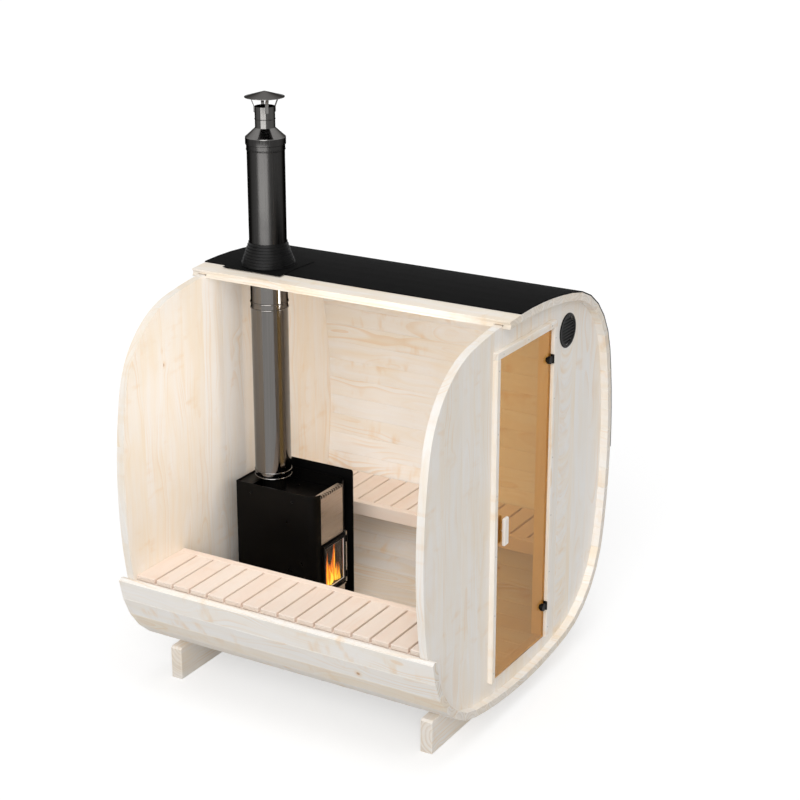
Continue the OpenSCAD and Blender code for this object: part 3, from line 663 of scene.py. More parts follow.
def rubber():
    g = Graph("boot_rubber")
    at = g.place()
    dust = g.noise(at, scale=24.0, detail=4.0, roughness=0.6)
    colour = g.ramp(dust, [(0.35, (0.003, 0.003, 0.003)), (0.80, (0.0075, 0.0075, 0.0077))])
    g.set(colour=colour, rough=g.fit(dust, 0.3, 0.8, 0.42, 0.60), specular=0.13)
    g.bump(g.noise(at, scale=520.0), distance=0.0004, strength=0.4)
    return g.material


def enamel(name, colour, worn, rough, gloss, peel_scale=700.0):
    """Baked paint on sheet steel: a slight orange-peel, clouds in the gloss and a trace of dust."""
    g = Graph(name)
    at = g.place()
    clouds = g.noise(at, scale=6.0, detail=4.0, roughness=0.55)
    g.set(colour=g.mix(g.fit(clouds, 0.35, 0.80), colour, worn), rough=g.fit(clouds, 0.25, 0.75, *rough))
    g.set(specular=gloss)
    g.bump(g.noise(at, peel_scale), distance=0.00015, strength=0.30)
    return g.material


# Scratches to the metre on each axis, by the axis that they run along
SCRATCHES = {"x": (3.0, 500.0, 500.0), "z": (240.0, 240.0, 1.2)}


def steel(name, dark, light, rough, along, brushed=0.0, edge=1.0, relief=0.25):
    """Bare steel. The scratches and the roll marks run along the given axis."""
    g = Graph(name)
    at = g.place()
    marks = g.noise(g.vector("MULTIPLY", at, SCRATCHES[along]), scale=1.0, detail=3.0, roughness=0.6)
    stains = g.noise(at, scale=9.0, detail=4.0, roughness=0.6)
    g.set(colour=g.mix(g.fit(marks, 0.3, 0.7), dark, light), metal=1.0)
    g.set(brushed=brushed, tint=(edge, edge, edge))
    worn = g.fit(marks, 0.3, 0.7, rough * 0.75, rough * 1.2)
    g.set(rough=g.plus(worn, g.fit(stains, 0.4, 0.8, 0.0, 0.05)))
    g.bump(marks, distance=0.00012, strength=relief)
    return g


def glass(name, tint, ior, smear):
    """Clear glass that takes its colour from the tint, with faint wiping marks."""
    g = Graph(name)
    wipe = g.noise(g.vector("MULTIPLY", g.place(), (5.0, 1.0, 2.0)), scale=1.0, detail=4.0, roughness=0.6)
    g.set(colour=tint, clear=1.0, ior=ior, specular=0.2, rough=g.fit(wipe, 0.45, 0.80, 0.0, smear))
    return g.material


FLUE_DARK = (0.145, 0.138, 0.131)
FLUE_LIGHT = (0.175, 0.166, 0.158)
# The chimney's near-black base colour is partly painted reflection: it stands in for dark surroundings that
# the pipe would reflect
CHIMNEY_DARK = (0.030, 0.029, 0.028)
CHIMNEY_LIGHT = (0.040, 0.039, 0.038)
PIPE_RELIEF = 0.04
# Heights between which the chimney goes from the flue's look to its own: the painted reflection of the pale
# room below, the painted dark reflection above, and a change of roughness
UNDER_ROOF = (2.215, 2.245)
FLUE_SHINE = 0.30


def reflection_painted_steel():
    """Chimney steel: dark steel in the open air, made near black as painted reflection of dark surroundings,
    and below the roof given the flue's lighter colour as painted reflection of the pale room.
    """
    # Painted reflection: a near-black base and a black edge tint, which also darken the pipe's sides
    g = steel("chimney_steel", CHIMNEY_DARK, CHIMNEY_LIGHT, 0.29, "z", edge=0.0, relief=PIPE_RELIEF)
    height = g.split(g.place())[2]
    outside = g.shader.inputs["Base Color"].links[0].from_socket
    rough = g.shader.inputs["Roughness"].links[0].from_socket
    # Painted reflection by height: the flue's lighter colour below the roof, the near-black one above it
    g.set(colour=g.mix(g.fit(height, *UNDER_ROOF), FLUE_LIGHT, outside))
    g.set(rough=g.times(rough, g.fit(height, *UNDER_ROOF, FLUE_SHINE, 1.0)))
    return g.material


def pipe_steel(name, dark, light, rough, edge):
    """Smooth steel of the pipes, with faint marks along them."""
    return steel(name, dark, light, rough, "z", edge=edge, relief=PIPE_RELIEF).material


felt_look = mineral_felt()
boot_look = rubber()
# Colour, worn colour, range of the roughness, gloss, and for cast iron the scale of its grain
PAINTS = {
    "stove_black": ((0.0026, 0.0024, 0.0022), (0.0034, 0.0031, 0.0028), (0.27, 0.33), 0.07),
    "shield_black": ((0.0026, 0.0026, 0.0027), (0.0036, 0.0034, 0.0033), (0.28, 0.36), 0.08),
    "fitting_black": ((0.0035, 0.0035, 0.0035), (0.0070, 0.0066, 0.0060), (0.38, 0.52), 0.12),
    "vent_black": ((0.006, 0.006, 0.006), (0.012, 0.012, 0.012), (0.42, 0.58), 0.15),
    "liner_grey": ((0.50, 0.49, 0.49), (0.60, 0.585, 0.58), (0.40, 0.55), 0.30),
    "cast_iron": ((0.030, 0.026, 0.023), (0.085, 0.070, 0.060), (0.60, 0.82), 0.30, 260.0),
}
paint = {name: enamel(name, *look) for name, look in PAINTS.items()}
PLATE_DARK = (0.475, 0.415, 0.365)
PLATE_LIGHT = (0.525, 0.465, 0.415)
plate_steel = steel("plate_steel", PLATE_DARK, PLATE_LIGHT, 0.30, "x", brushed=0.6, relief=0.08).material
frame_steel = steel("frame_steel", (0.42, 0.39, 0.36), (0.56, 0.53, 0.50), 0.26, "x").material
screw_steel = steel("screw_steel", (0.40, 0.38, 0.35), (0.55, 0.53, 0.50), 0.30, "x").material
polished_steel = pipe_steel("polished_steel", FLUE_DARK, FLUE_LIGHT, 0.09, edge=1.0)
# Its base colours are painted reflection, lighter below the roof and near black above it
chimney_steel = reflection_painted_steel()
# Darker and lighter copies of the one pipe steel, as painted reflection: the stub's near-black base paints
# dark surroundings, the cap's lighter base paints its bright facets
stub_steel = pipe_steel("stub_steel", (0.060, 0.058, 0.056), (0.080, 0.078, 0.075), 0.12, edge=0.0)
cap_steel = pipe_steel("cap_steel", (0.170, 0.165, 0.160), (0.210, 0.204, 0.198), 0.12, edge=0.2)
bronze_glass = glass("bronze_glass", (0.66, 0.43, 0.178), ior=1.16, smear=0.006)
fire_glass = glass("fire_glass", (0.80, 0.75, 0.70), ior=1.25, smear=0.02)

LOOKS = {
    felt_look: ("roof_felt", "flashing_plate"),
    boot_look: ("pipe_boot",),
    paint["stove_black"]: (
        "stove_base",
        "stove_jacket",
        "stove_back",
        "stove_crown",
        "stove_front_frame",
        "fire_door_frame",
    ),
    paint["shield_black"]: ("side_shield",),
    paint["fitting_black"]: ("hinge_brackets", "door_hinges"),
    paint["vent_black"]: ("wall_vent",),
    paint["cast_iron"]: ("firebox",),
    plate_steel: ("stove_front_plate", "ash_pan_front"),
    frame_steel: ("fire_door_rod",),
    bronze_glass: ("door_glass",),
    fire_glass: ("fire_door_glass",),
}
for look, names in LOOKS.items():
    for name in names:
        for slot in nodes[name].material_slots:
            slot.material = look

# Barrel and end walls

HOLE_TURNS = 64
HOLE_BEVEL = 0.0005
ROOF_CUT = 0.6
VENT_CUT = 0.2


def cut_round(obj, centre, radius, axis, length):
    """Cuts a round hole through a piece and leaves a plain mesh."""
    tool = bpy.data.meshes.new("cutter")
    u, v = [a for a in "xyz" if a != axis]
    outline = circle(getattr(centre, u), getattr(centre, v), radius, HOLE_TURNS)
    at = getattr(centre, axis)
    verts, faces = prism(axis, outline, at - length / 2, at + length / 2, HOLE_BEVEL)
    tool.from_pydata(verts, [], faces)
    face_outwards(tool)
    cutter = bpy.data.objects.new("cutter", tool)
    bpy.context.scene.collection.objects.link(cutter)
    cut = obj.modifiers.new("hole", "BOOLEAN")
    cut.operation = "DIFFERENCE"
    cut.solver = "EXACT"
    cut.object = cutter
    bpy.context.view_layer.update()
    shaped = bpy.data.meshes.new_from_object(obj.evaluated_get(bpy.context.evaluated_depsgraph_get()))
    obj.modifiers.clear()
    obj.data = shaped
    bpy.data.objects.remove(cutter)


# First and last stave of each node, counted from the floor's middle to the left
STAVE_NODES = {
    "floor_staves": (-4, 4),
    "left_staves": (5, 10),
    "roof_staves": (28, 33),
    "shoulder_staves": (34, 40),
    "right_staves": (41, 48),
    "lower_right_staves": (49, 54),
}
for name, (first, last) in STAVE_NODES.items():
    lot = Boards()
    for k in range(first, last + 1):
        stave(lot, k, rng.random())
    piece = lot.make(name + "_boards", spruce, node=name, slot="pale_pine")
    if name == "roof_staves":
        cut_round(piece, Vector((0.0, PIPE_Y, MID_Z + HALF_H)), ROOF_HOLE_R, "z", ROOF_CUT)

WALLS = {
    "back_wall": (BACK_INSIDE, WALL_BACK, -WALL_X, WALL_X, -FAR, FAR),
    "front_wall_left": (WALL_FRONT, FRONT_INSIDE, -WALL_X, -OPENING_X, -FAR, FAR),
    "front_wall_right": (WALL_FRONT, FRONT_INSIDE, OPENING_X, WALL_X, -FAR, FAR),
    "front_wall_head": (WALL_FRONT, FRONT_INSIDE, -OPENING_X, OPENING_X, HEAD_Z, FAR),
    "front_wall_sill": (WALL_FRONT, FRONT_INSIDE, -OPENING_X, OPENING_X, -FAR, SILL_Z),
}
for name, span in WALLS.items():
    lot = Boards()
    wall_boards(lot, *span)
    piece = lot.make(name + "_boards", wall_spruce, node=name, slot="wall_pine")
    if name == "front_wall_right":
        cut_round(piece, Vector((VENT[0], WALL_FRONT, VENT[1])), VENT_HOLE_R, "y", VENT_CUT)

# Benches

BENCH_INNER = 0.540
EDGE_T = 0.045
EDGE_H = 0.082
BEARER = 0.040
SLAT_ROUND = 0.0032
EDGE_ROUND = 0.0045
BEARER_ROUND = 0.002
SLAT_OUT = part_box("right_bench_slats")[1].x
BEARER_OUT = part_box("right_bench_bearers")[1].x
slat_pitch = (BACK_INSIDE - FRONT_INSIDE - SLAT_BACK - SLAT_FRONT) / (SLAT_COUNT - 2)
gap_middles = [BACK_INSIDE - SLAT_BACK - i * slat_pitch for i in range(SLAT_COUNT - 1)]
slat_ends = [BACK_INSIDE - SEAT]
for y in gap_middles:
    slat_ends += [y + SLAT_GAP / 2, y - SLAT_GAP / 2]
slat_ends.append(FRONT_INSIDE + SEAT)
for side, sign in (("left", -1), ("right", 1)):
    lot = Boards()
    inner = BENCH_INNER + EDGE_T + SEAT
    x = sorted((sign * inner, sign * SLAT_OUT))
    for y1, y0 in zip(slat_ends[0::2], slat_ends[1::2]):
        plank(lot, "x", x, (y0, y1), (BENCH_TOP - SLAT_T, BENCH_TOP), SLAT_ROUND)
    lot.make(side + "_bench_slat_boards", aspen, node=side + "_bench_slats", slot="aspen")
    ends = (FRONT_INSIDE + SEAT, BACK_INSIDE - SEAT)
    lot = Boards()
    x = sorted((sign * BENCH_INNER, sign * (BENCH_INNER + EDGE_T)))
    plank(lot, "y", x, ends, (BENCH_TOP - EDGE_H, BENCH_TOP), EDGE_ROUND)
    lot.make(side + "_bench_edge_board", aspen, node=side + "_bench_edge", slot="aspen")
    lot = Boards()
    top = BENCH_TOP - SLAT_T - SEAT
    for x0 in (inner, BEARER_OUT - BEARER):
        x = sorted((sign * x0, sign * (x0 + BEARER)))
        plank(lot, "y", x, ends, (top - BEARER, top), BEARER_ROUND)
    lot.make(side + "_bench_bearer_boards", aspen, node=side + "_bench_bearers", slot="aspen")

# Cradles

CRADLE_T = 0.072
CRADLE_HALF = 0.770
CRADLE_END_H = 0.195
CRADLE_CHAMFER = 0.012
CRADLE_Y = 0.820
CRADLE_BEVEL = 0.0025
CRADLE_TONE = 0.35
CRADLE_JOINTS = range(-9, 11)


def cradle_profile():
    """The beam's outline: its foot, its chamfered ends and the hollow that follows the staves."""
    under = [joint(k, SEAT) for k in CRADLE_JOINTS]
    hollow = []
    for a, b in zip(under, under[1:]):
        if a.y < CRADLE_END_H and b.y < CRADLE_END_H:
            hollow += [a] if not hollow else []
            hollow += [b]
        elif (a.y - CRADLE_END_H) * (b.y - CRADLE_END_H) < 0:
            t = (CRADLE_END_H - a.y) / (b.y - a.y)
            edge = a + (b - a) * t
            hollow += [edge, b] if a.y > CRADLE_END_H else [edge]
    inner = CRADLE_HALF - CRADLE_CHAMFER
    shoulder = CRADLE_END_H - CRADLE_CHAMFER
    points = [(-CRADLE_HALF, 0.0), (CRADLE_HALF, 0.0), (CRADLE_HALF, shoulder), (inner, CRADLE_END_H)]
    points += sorted(hollow, key=lambda p: -p.x)
    return points + [(-inner, CRADLE_END_H), (-CRADLE_HALF, shoulder)]


for side, y in (("front", -CRADLE_Y), ("back", CRADLE_Y)):
    lot = Boards()
    verts, faces = prism("y", cradle_profile(), y - CRADLE_T / 2, y + CRADLE_T / 2, CRADLE_BEVEL)
    lot.add(verts, faces, (1, 0, 0), (0, 0, 1), CRADLE_TONE)
    lot.make(side + "_cradle_beam", spruce, node=side + "_cradle", slot="pale_pine")

# Doorway

CASING_X = 0.310
CASING_W = 0.033
CASING_Y = -0.985
CASING_LOW = 0.251
CASING_TOP = 2.092
CASING_HEAD = 0.038
CASING_ROUND = 0.0025
CASING_TONE = 0.25
CASING_HEAD_TONE = 0.2
LINING_X = 0.297
LINING_TOP = 2.079
LINING_Y = -0.892
LINING_ROUND = 0.002
LINING_TONE = 0.5
lot = Boards()
y = (CASING_Y, WALL_FRONT)
for s in (-1, 1):
    x = sorted((s * CASING_X, s * (CASING_X + CASING_W)))
    plank(lot, "z", x, y, (CASING_LOW, CASING_TOP - SEAT), CASING_ROUND, CASING_TONE)
x = (-CASING_X - CASING_W, CASING_X + CASING_W)
plank(lot, "x", x, y, (CASING_TOP, CASING_TOP + CASING_HEAD), CASING_ROUND, CASING_HEAD_TONE)
lot.make("door_casing_boards", spruce, node="door_casing", slot="pale_pine")
lot = Boards()
y = (WALL_FRONT, LINING_Y)
for s in (-1, 1):
    x = sorted((s * LINING_X, s * OPENING_X))
    plank(lot, "z", x, y, (SILL_Z, LINING_TOP - SEAT), LINING_ROUND, LINING_TONE)
plank(lot, "x", (-OPENING_X, OPENING_X), y, (LINING_TOP, HEAD_Z), LINING_ROUND, LINING_TONE)
lot.make("door_lining_boards", lining_wood, node="door_lining", slot="pale_pine")

# Door handle: a block on each side of the glass and the peg that joins them

HANDLE_X = -0.230
HANDLE_Z = 1.112
HANDLE_W = 0.046
HANDLE_H = 0.160
HANDLE_OUT = (-0.998, -0.978)
HANDLE_IN = (-0.950, -0.930)
HANDLE_ROUND = 0.006
HANDLE_TONE = 0.15
PEG_R = 0.006
PEG_TURNS = 24
PEG_SUNK = 0.001
PEG_BEVEL = 0.0004
PEG_TONE = 0.3
lot = Boards()
x = (HANDLE_X - HANDLE_W / 2, HANDLE_X + HANDLE_W / 2)
z = (HANDLE_Z - HANDLE_H / 2, HANDLE_Z + HANDLE_H / 2)
for y in (HANDLE_OUT, HANDLE_IN):
    plank(lot, "z", x, y, z, HANDLE_ROUND, HANDLE_TONE)
peg = circle(HANDLE_X, HANDLE_Z, PEG_R, PEG_TURNS)
verts, faces = prism("y", peg, HANDLE_OUT[1] - PEG_SUNK, HANDLE_IN[0] + PEG_SUNK, PEG_BEVEL)
lot.add(verts, faces, (0, 1, 0), (1, 0, 0), PEG_TONE)
lot.make("door_handle_blocks", handle_wood, body="door", node="door_handle", slot="handle_wood")

# Small turned pieces


def frame_of(axis):
    """The axis and two directions square to it."""
    axis = Vector(axis).normalized()
    side = axis.orthogonal().normalized()
    return axis, side, axis.cross(side)


def turned(points, at, axis, turns=20):
    """Vertices and faces of a turned piece: (radius, height) pairs along the axis, from foot to top."""
    axis, u, v = frame_of(axis)
    verts = []
    for radius, height in points:
        for i in range(turns):
            a = 2 * math.pi * i / turns
            verts.append(Vector(at) + axis * height + (u * math.cos(a) + v * math.sin(a)) * radius)
    return verts, rings_to_faces(len(points), turns)


class Lot:
    """Collects closed pieces of one material into one mesh, each vertex with its heat for the fire."""

    def __init__(self):
        self.verts = []
        self.faces = []
        self.heat = []

    def add(self, verts, faces, heat=None):
        base = len(self.verts)
        self.verts += [tuple(v) for v in verts]
        self.faces += [tuple(base + i for i in f) for f in faces]
        self.heat += heat or [0.0] * len(verts)

    def make(self, name, material, body="sauna", slot=None, smooth=None, node=None):
        """Edges that turn by more than smooth, in degrees, stay sharp."""
        mesh = bpy.data.meshes.new(name)
        mesh.from_pydata(self.verts, [], self.faces)
        heat = mesh.attributes.new("heat", "FLOAT", "POINT")
        heat.data.foreach_set("value", self.heat)
        face_outwards(mesh)
        if smooth:
            mesh.shade_smooth()
            mesh.set_sharp_from_angle(angle=math.radians(smooth))
        return place(bpy.data.objects.new(name, mesh), material, body, node)


# Outlines of a countersunk screw's head and of a rivet's head
SCREW = [(0.0040, -0.0010), (0.0040, 0.0002), (0.0036, 0.0006), (0.0017, 0.0006), (0.0014, -0.0008)]
RIVET = [(0.0095, -0.0015), (0.0095, 0.0012), (0.0085, 0.0026), (0.0055, 0.0040), (0.0018, 0.0045)]
CASING_SCREWS = 6
SCREW_FROM_END = 0.06
HEAD_SCREWS_X = (-0.28, 0.0, 0.28)
RIVETS_Y = (0.405, 0.690)
RIVET_X = 0.175
RIVET_Z = 0.962
screw_pitch = (CASING_TOP - CASING_LOW - 2 * SCREW_FROM_END) / (CASING_SCREWS - 1)
lot = Lot()
for s in (-1, 1):
    for i in range(CASING_SCREWS):
        z = CASING_LOW + SCREW_FROM_END + i * screw_pitch
        lot.add(*turned(SCREW, (s * (CASING_X + CASING_W / 2), CASING_Y, z), (0, -1, 0)))
for x in HEAD_SCREWS_X:
    lot.add(*turned(SCREW, (x, CASING_Y, CASING_TOP + CASING_HEAD / 2), (0, -1, 0)))
lot.make("casing_screws", screw_steel, slot="brushed_steel", smooth=30)
lot = Lot()
for y in RIVETS_Y:
    for s in (-1, 1):
        lot.add(*turned(RIVET, (s * RIVET_X, y, RIVET_Z), (s, 0, 0)))
lot.make("stove_rivets", paint["stove_black"], slot="black_steel", smooth=40)

# Chimney: rolled pipe lengths, the reducer, the stub and the rain cap, turned round the pipe's axis

PIPE_R = 0.1055
FLUE_R = 0.053
RING_OUT = 0.004
RING_H = 0.009
RING_STEPS = 6
RING_SEAT = 0.0002
FLUE_RING = 0.034
CHIMNEY_RING = 0.024
STUB_WALL = 0.003
PIPE_TURNS = 96
PIPE_SMOOTH = 40


def tube(points):
    """Vertices and faces of a closed outline of (radius, height) pairs, turned round the pipe's axis."""
    verts = []
    for radius, height in points:
        verts += [(x, y, height) for x, y in circle(0.0, PIPE_Y, radius, PIPE_TURNS)]
    return verts, rings_to_faces(len(points), PIPE_TURNS, capped=False)


def rolled_ring(radius, z, out, height):
    """Half-round bead that stands out from the pipe, from its foot to its top."""
    turns = [math.pi * i / RING_STEPS for i in range(RING_STEPS + 1)]
    return [(radius + out * math.sin(a), z + height * (1 - math.cos(a)) / 2) for a in turns]


def sheet(name, points, material, slot="chimney_steel"):
    """The turned sheet that stands for one node of the chimney."""
    lot = Lot()
    lot.add(*tube(points))
    return lot.make(name + "_sheet", material, slot=slot, smooth=PIPE_SMOOTH, node=name)


def pipe_length(name, material, slot, rings):
    """A length of pipe with rolled rings at heights above its foot, and one at its top."""
    low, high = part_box(name)
    points = [(PIPE_R, low.z)]
    for z in [low.z + up for up in rings] + [high.z - RING_H - RING_SEAT]:
        points += rolled_ring(PIPE_R, z, RING_OUT, RING_H)
    points += [(PIPE_R, high.z), (FLUE_R, high.z), (FLUE_R, low.z)]
    sheet(name, points, material, slot)


pipe_length("flue_pipe", polished_steel, "polished_steel", (RING_SEAT, FLUE_RING))
pipe_length("chimney_pipe", chimney_steel, "chimney_steel", (CHIMNEY_RING,))

BAND_H = 0.066
BAND_LOW_R = PIPE_R + 0.002
BAND_R = PIPE_R + 0.007
BAND_STEP = 0.003
BAND_ROUND = 0.004
BAND_CUT = 0.0012
low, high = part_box("chimney_reducer")
step_z = low.z + BAND_H / 3
cone_z = low.z + BAND_H
points = [(FLUE_R, low.z), (BAND_LOW_R, low.z), (BAND_LOW_R, step_z), (BAND_R, step_z + BAND_STEP)]
points += [(BAND_R, cone_z - BAND_ROUND), (BAND_R - BAND_CUT, cone_z - BAND_CUT)]
points += [(BAND_R - BAND_ROUND, cone_z), (FLUE_R + STUB_WALL, high.z), (FLUE_R, high.z)]
reducer = sheet("chimney_reducer", points, cap_steel)
# Painted reflection: the cone takes the lighter copy of the steel, the band the near-black one
reducer.data.materials.append(chimney_steel)
for face in reducer.data.polygons:
    face.material_index = 1 if face.center.z < cone_z - BAND_ROUND else 0

STUB_RING = 0.38
STUB_RING_OUT = 0.002
STUB_RING_H = 0.006
low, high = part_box("chimney_stub")
stub_r = FLUE_R + STUB_WALL
points = [(FLUE_R, low.z), (stub_r, low.z)]
points += rolled_ring(stub_r, low.z + STUB_RING * (high.z - low.z), STUB_RING_OUT, STUB_RING_H)
points += [(stub_r, high.z), (FLUE_R, high.z)]
sheet("chimney_stub", points, stub_steel)
STUB_TOP = high.z

CAP_R = 0.111
CAP_H = 0.031
CAP_T = 0.0025
CAP_TIP = 0.0005
STRAP_T = 0.004
STRAP_W = 0.018
STRAP_FOOT = 0.032
STRAP_REACH = 0.72
STRAP_SUNK = 0.001
STRAP_TURNS = (45, 135, 225, 315)
low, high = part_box("rain_cap")
cap_z = high.z - CAP_H - CAP_T
strap_top_r = CAP_R * STRAP_REACH
strap_top_z = cap_z + (CAP_R - strap_top_r) * CAP_H / CAP_R + STRAP_SUNK
foot_r = stub_r + SEAT
foot_z = STUB_TOP - STRAP_FOOT
lot = Lot()
lot.add(*tube([(CAP_TIP, cap_z + CAP_H), (CAP_R, cap_z), (CAP_R, cap_z + CAP_T), (CAP_TIP, high.z)]))
strap = [(foot_r, foot_z), (foot_r + STRAP_T, foot_z), (foot_r + STRAP_T, STUB_TOP)]
strap += [(strap_top_r + STRAP_T, strap_top_z), (strap_top_r, strap_top_z), (foot_r, STUB_TOP)]
for turn in STRAP_TURNS:
    out = Vector((math.cos(math.radians(turn)), math.sin(math.radians(turn)), 0.0))
    side = Vector((-out.y, out.x, 0.0)) * STRAP_W / 2
    verts = []
    for s in (-1, 1):
        verts += [Vector((0.0, PIPE_Y, z)) + out * r + side * s for r, z in strap]
    lot.add(verts, rings_to_faces(2, len(strap)))
lot.make("rain_cap_sheet", cap_steel, slot="chimney_steel", smooth=PIPE_SMOOTH, node="rain_cap")

# A dark disc behind the louvres, painted shade that stands in for the shade inside the vent, and the bright
# inner edges of the fire door

SHADE_DISC_Y = (-0.950, -0.949)
SHADE_DISC_R = 0.0725
SHADE_DISC_TURNS = 48
# Painted shade: a dark disc in the vent's hole, where behind the louvres there is only shade
disc = [(SHADE_DISC_R, 0.0), (SHADE_DISC_R, SHADE_DISC_Y[1] - SHADE_DISC_Y[0])]
lot = Lot()
lot.add(*turned(disc, (VENT[0], SHADE_DISC_Y[0], VENT[1]), (0, 1, 0), SHADE_DISC_TURNS))
lot.make("vent_screen", paint["vent_black"], slot="black_steel")
FIRE_DOOR_X = 0.097
FIRE_DOOR_Y = (0.2335, 0.2395)
FIRE_DOOR_Z = (0.421, 0.677)
LINER = 0.0012
LINER_BEVEL = 0.0003
y0, y1 = FIRE_DOOR_Y
lot = Lot()
for s in (-1, 1):
    x0, x1 = sorted((s * FIRE_DOOR_X, s * (FIRE_DOOR_X - LINER)))
    upright = [(x0, y0), (x1, y0), (x1, y1), (x0, y1)]
    lot.add(*prism("z", upright, *FIRE_DOOR_Z, LINER_BEVEL))
    z0, z1 = sorted((FIRE_DOOR_Z[s > 0], FIRE_DOOR_Z[s > 0] - s * LINER))
    level = [(y0, z0), (y1, z0), (y1, z1), (y0, z1)]
    lot.add(*prism("x", level, LINER - FIRE_DOOR_X, FIRE_DOOR_X - LINER, LINER_BEVEL))
lot.make("fire_door_liner", paint["liner_grey"], body="fire_door", slot="brushed_steel")

# Fire

HEARTH_Z = 0.409
FIRE_Y = (0.262, 0.560)
FIRE_X = 0.094
LICKS = (60.0, 60.0, 22.0)


def fire_look(name, stops, power, alpha):
    """Glowing gas, its colour by its height in the tongue."""
    g = Graph(name)
    lick = g.noise(g.vector("MULTIPLY", g.place(), LICKS), scale=1.0)
    colour = g.ramp(g.plus(g.attribute("heat"), g.fit(lick, 0.2, 0.8, -0.12, 0.12)), stops)
    g.set(colour=(0.0, 0.0, 0.0), glow=colour, glow_power=power, alpha=alpha, rough=1.0, specular=0.0)
    return g.material


# Colours at the foot, the tip and between them
SKIN_STOPS = [(0.0, (1.0, 0.20, 0.01)), (1.0, (0.55, 0.03, 0.0)), (0.5, (0.95, 0.10, 0.004))]
BODY_STOPS = [(0.0, (1.0, 0.46, 0.02)), (1.0, (1.0, 0.16, 0.01)), (0.5, (1.0, 0.32, 0.012))]
CORE_STOPS = [(0.0, (1.0, 0.60, 0.05)), (1.0, (1.0, 0.42, 0.02)), (0.45, (1.0, 0.86, 0.22))]
flame_skin = fire_look("flame_skin", SKIN_STOPS, power=1.4, alpha=0.50)
flame_body = fire_look("flame_body", BODY_STOPS, power=1.6, alpha=0.85)
flame_core = fire_look("flame_core", CORE_STOPS, power=1.9, alpha=1.0)
GLOW = (1.0, 0.20, 0.01)
CRACK_GLOW = (1.0, 0.16, 0.01)
BLACK = (0.0, 0.0, 0.0)
BARK_PLATES = (70.0, 26.0, 70.0)


def ember_look():
    g = Graph("ember")
    at = g.place()
    cracks = g.noise(at, scale=85.0, detail=4.0, roughness=0.65)
    ash = g.noise(at, scale=140.0, detail=3.0)
    ash = g.ramp(ash, [(0.35, (0.010, 0.009, 0.008)), (0.75, (0.09, 0.085, 0.08))])
    g.set(colour=ash, glow=g.ramp(cracks, [(0.50, BLACK), (0.72, GLOW)]), glow_power=1.2, rough=0.95)
    g.bump(cracks, distance=0.002, strength=0.8)
    return g.material


def bark_look():
    g = Graph("charred_bark")
    at = g.place()
    inputs = {"Vector": g.vector("MULTIPLY", at, BARK_PLATES), "Scale": 1.0}
    plates = g.make("ShaderNodeTexVoronoi", inputs, feature="DISTANCE_TO_EDGE")
    crack = g.fit(plates.outputs["Distance"], 0.0, 0.16)
    burn = g.noise(at, scale=22.0, detail=3.0)
    colour = g.mix(crack, (0.006, 0.005, 0.004), (0.075, 0.048, 0.030))
    colour = g.mix(g.fit(burn, 0.42, 0.60), colour, (0.012, 0.011, 0.010))
    glow = g.mix(g.times(g.fit(crack, 0.5, 0.0), g.fit(burn, 0.50, 0.70)), BLACK, CRACK_GLOW)
    g.set(colour=colour, rough=0.92, glow=glow, glow_power=1.0)
    g.bump(crack, distance=0.003, strength=0.9)
    return g.material


FLAME_RINGS = 16
FLAME_TURNS = 12
FLAME_TIP = 0.0004
FLAME_BELLY = 0.62
FLAME_FOOT = 0.02
FLAME_FULL = 0.85
FLAME_TAPER = 0.30
FLAME_SWAY = 0.55
FLAME_DEPTH = 0.62
FLAME_RIPPLE = 0.16


def flame(lot, x, y, z, height, width, lean, phase):
    """A tongue of fire: a drop shape that sways as it rises to a point."""
    verts = []
    heat = []
    for i in range(FLAME_RINGS):
        t = i / (FLAME_RINGS - 1)
        belly = math.sin(math.pi * min(1.0, t**FLAME_BELLY + FLAME_FOOT))
        radius = max(FLAME_TIP, width * (belly**FLAME_FULL * (1 - FLAME_TAPER * t)))
        sway = FLAME_SWAY * math.sin(2 * math.pi * (0.9 * t + phase)) * t
        cx = x + width * (sway + lean * t * t)
        cy = y + 0.5 * width * math.sin(2 * math.pi * (0.7 * t + phase * 1.7)) * t
        for j in range(FLAME_TURNS):
            a = 2 * math.pi * j / FLAME_TURNS
            r = radius * (1 + FLAME_RIPPLE * math.sin(3 * a + 9 * t + 7 * phase))
            verts.append((cx + r * math.cos(a), cy + FLAME_DEPTH * r * math.sin(a), z + height * t))
            heat.append(t)
    lot.add(verts, rings_to_faces(FLAME_RINGS, FLAME_TURNS), heat)


LUMP_ROUGH = (0.78, 1.12)
LUMP_FLAT = 0.72


def lump(lot, at, size, seed):
    """An irregular many-sided lump, as of coal."""
    rand = random.Random(seed)
    bm = bmesh.new()
    bmesh.ops.create_icosphere(bm, subdivisions=2, radius=size)
    for v in bm.verts:
        v.co *= rand.uniform(*LUMP_ROUGH)
        v.co.z *= LUMP_FLAT
    verts = [Vector(at) + v.co for v in bm.verts]
    faces = [tuple(v.index for v in f.verts) for f in bm.faces]
    bm.free()
    lot.add(verts, faces)


LOG_RINGS = 9
LOG_TURNS = 18
LOG_BUMPS = (0.9, 1.08)
LOG_ROUGH = (0.97, 1.03)
LOG_END = 0.92
LOG_FLAT = 0.45


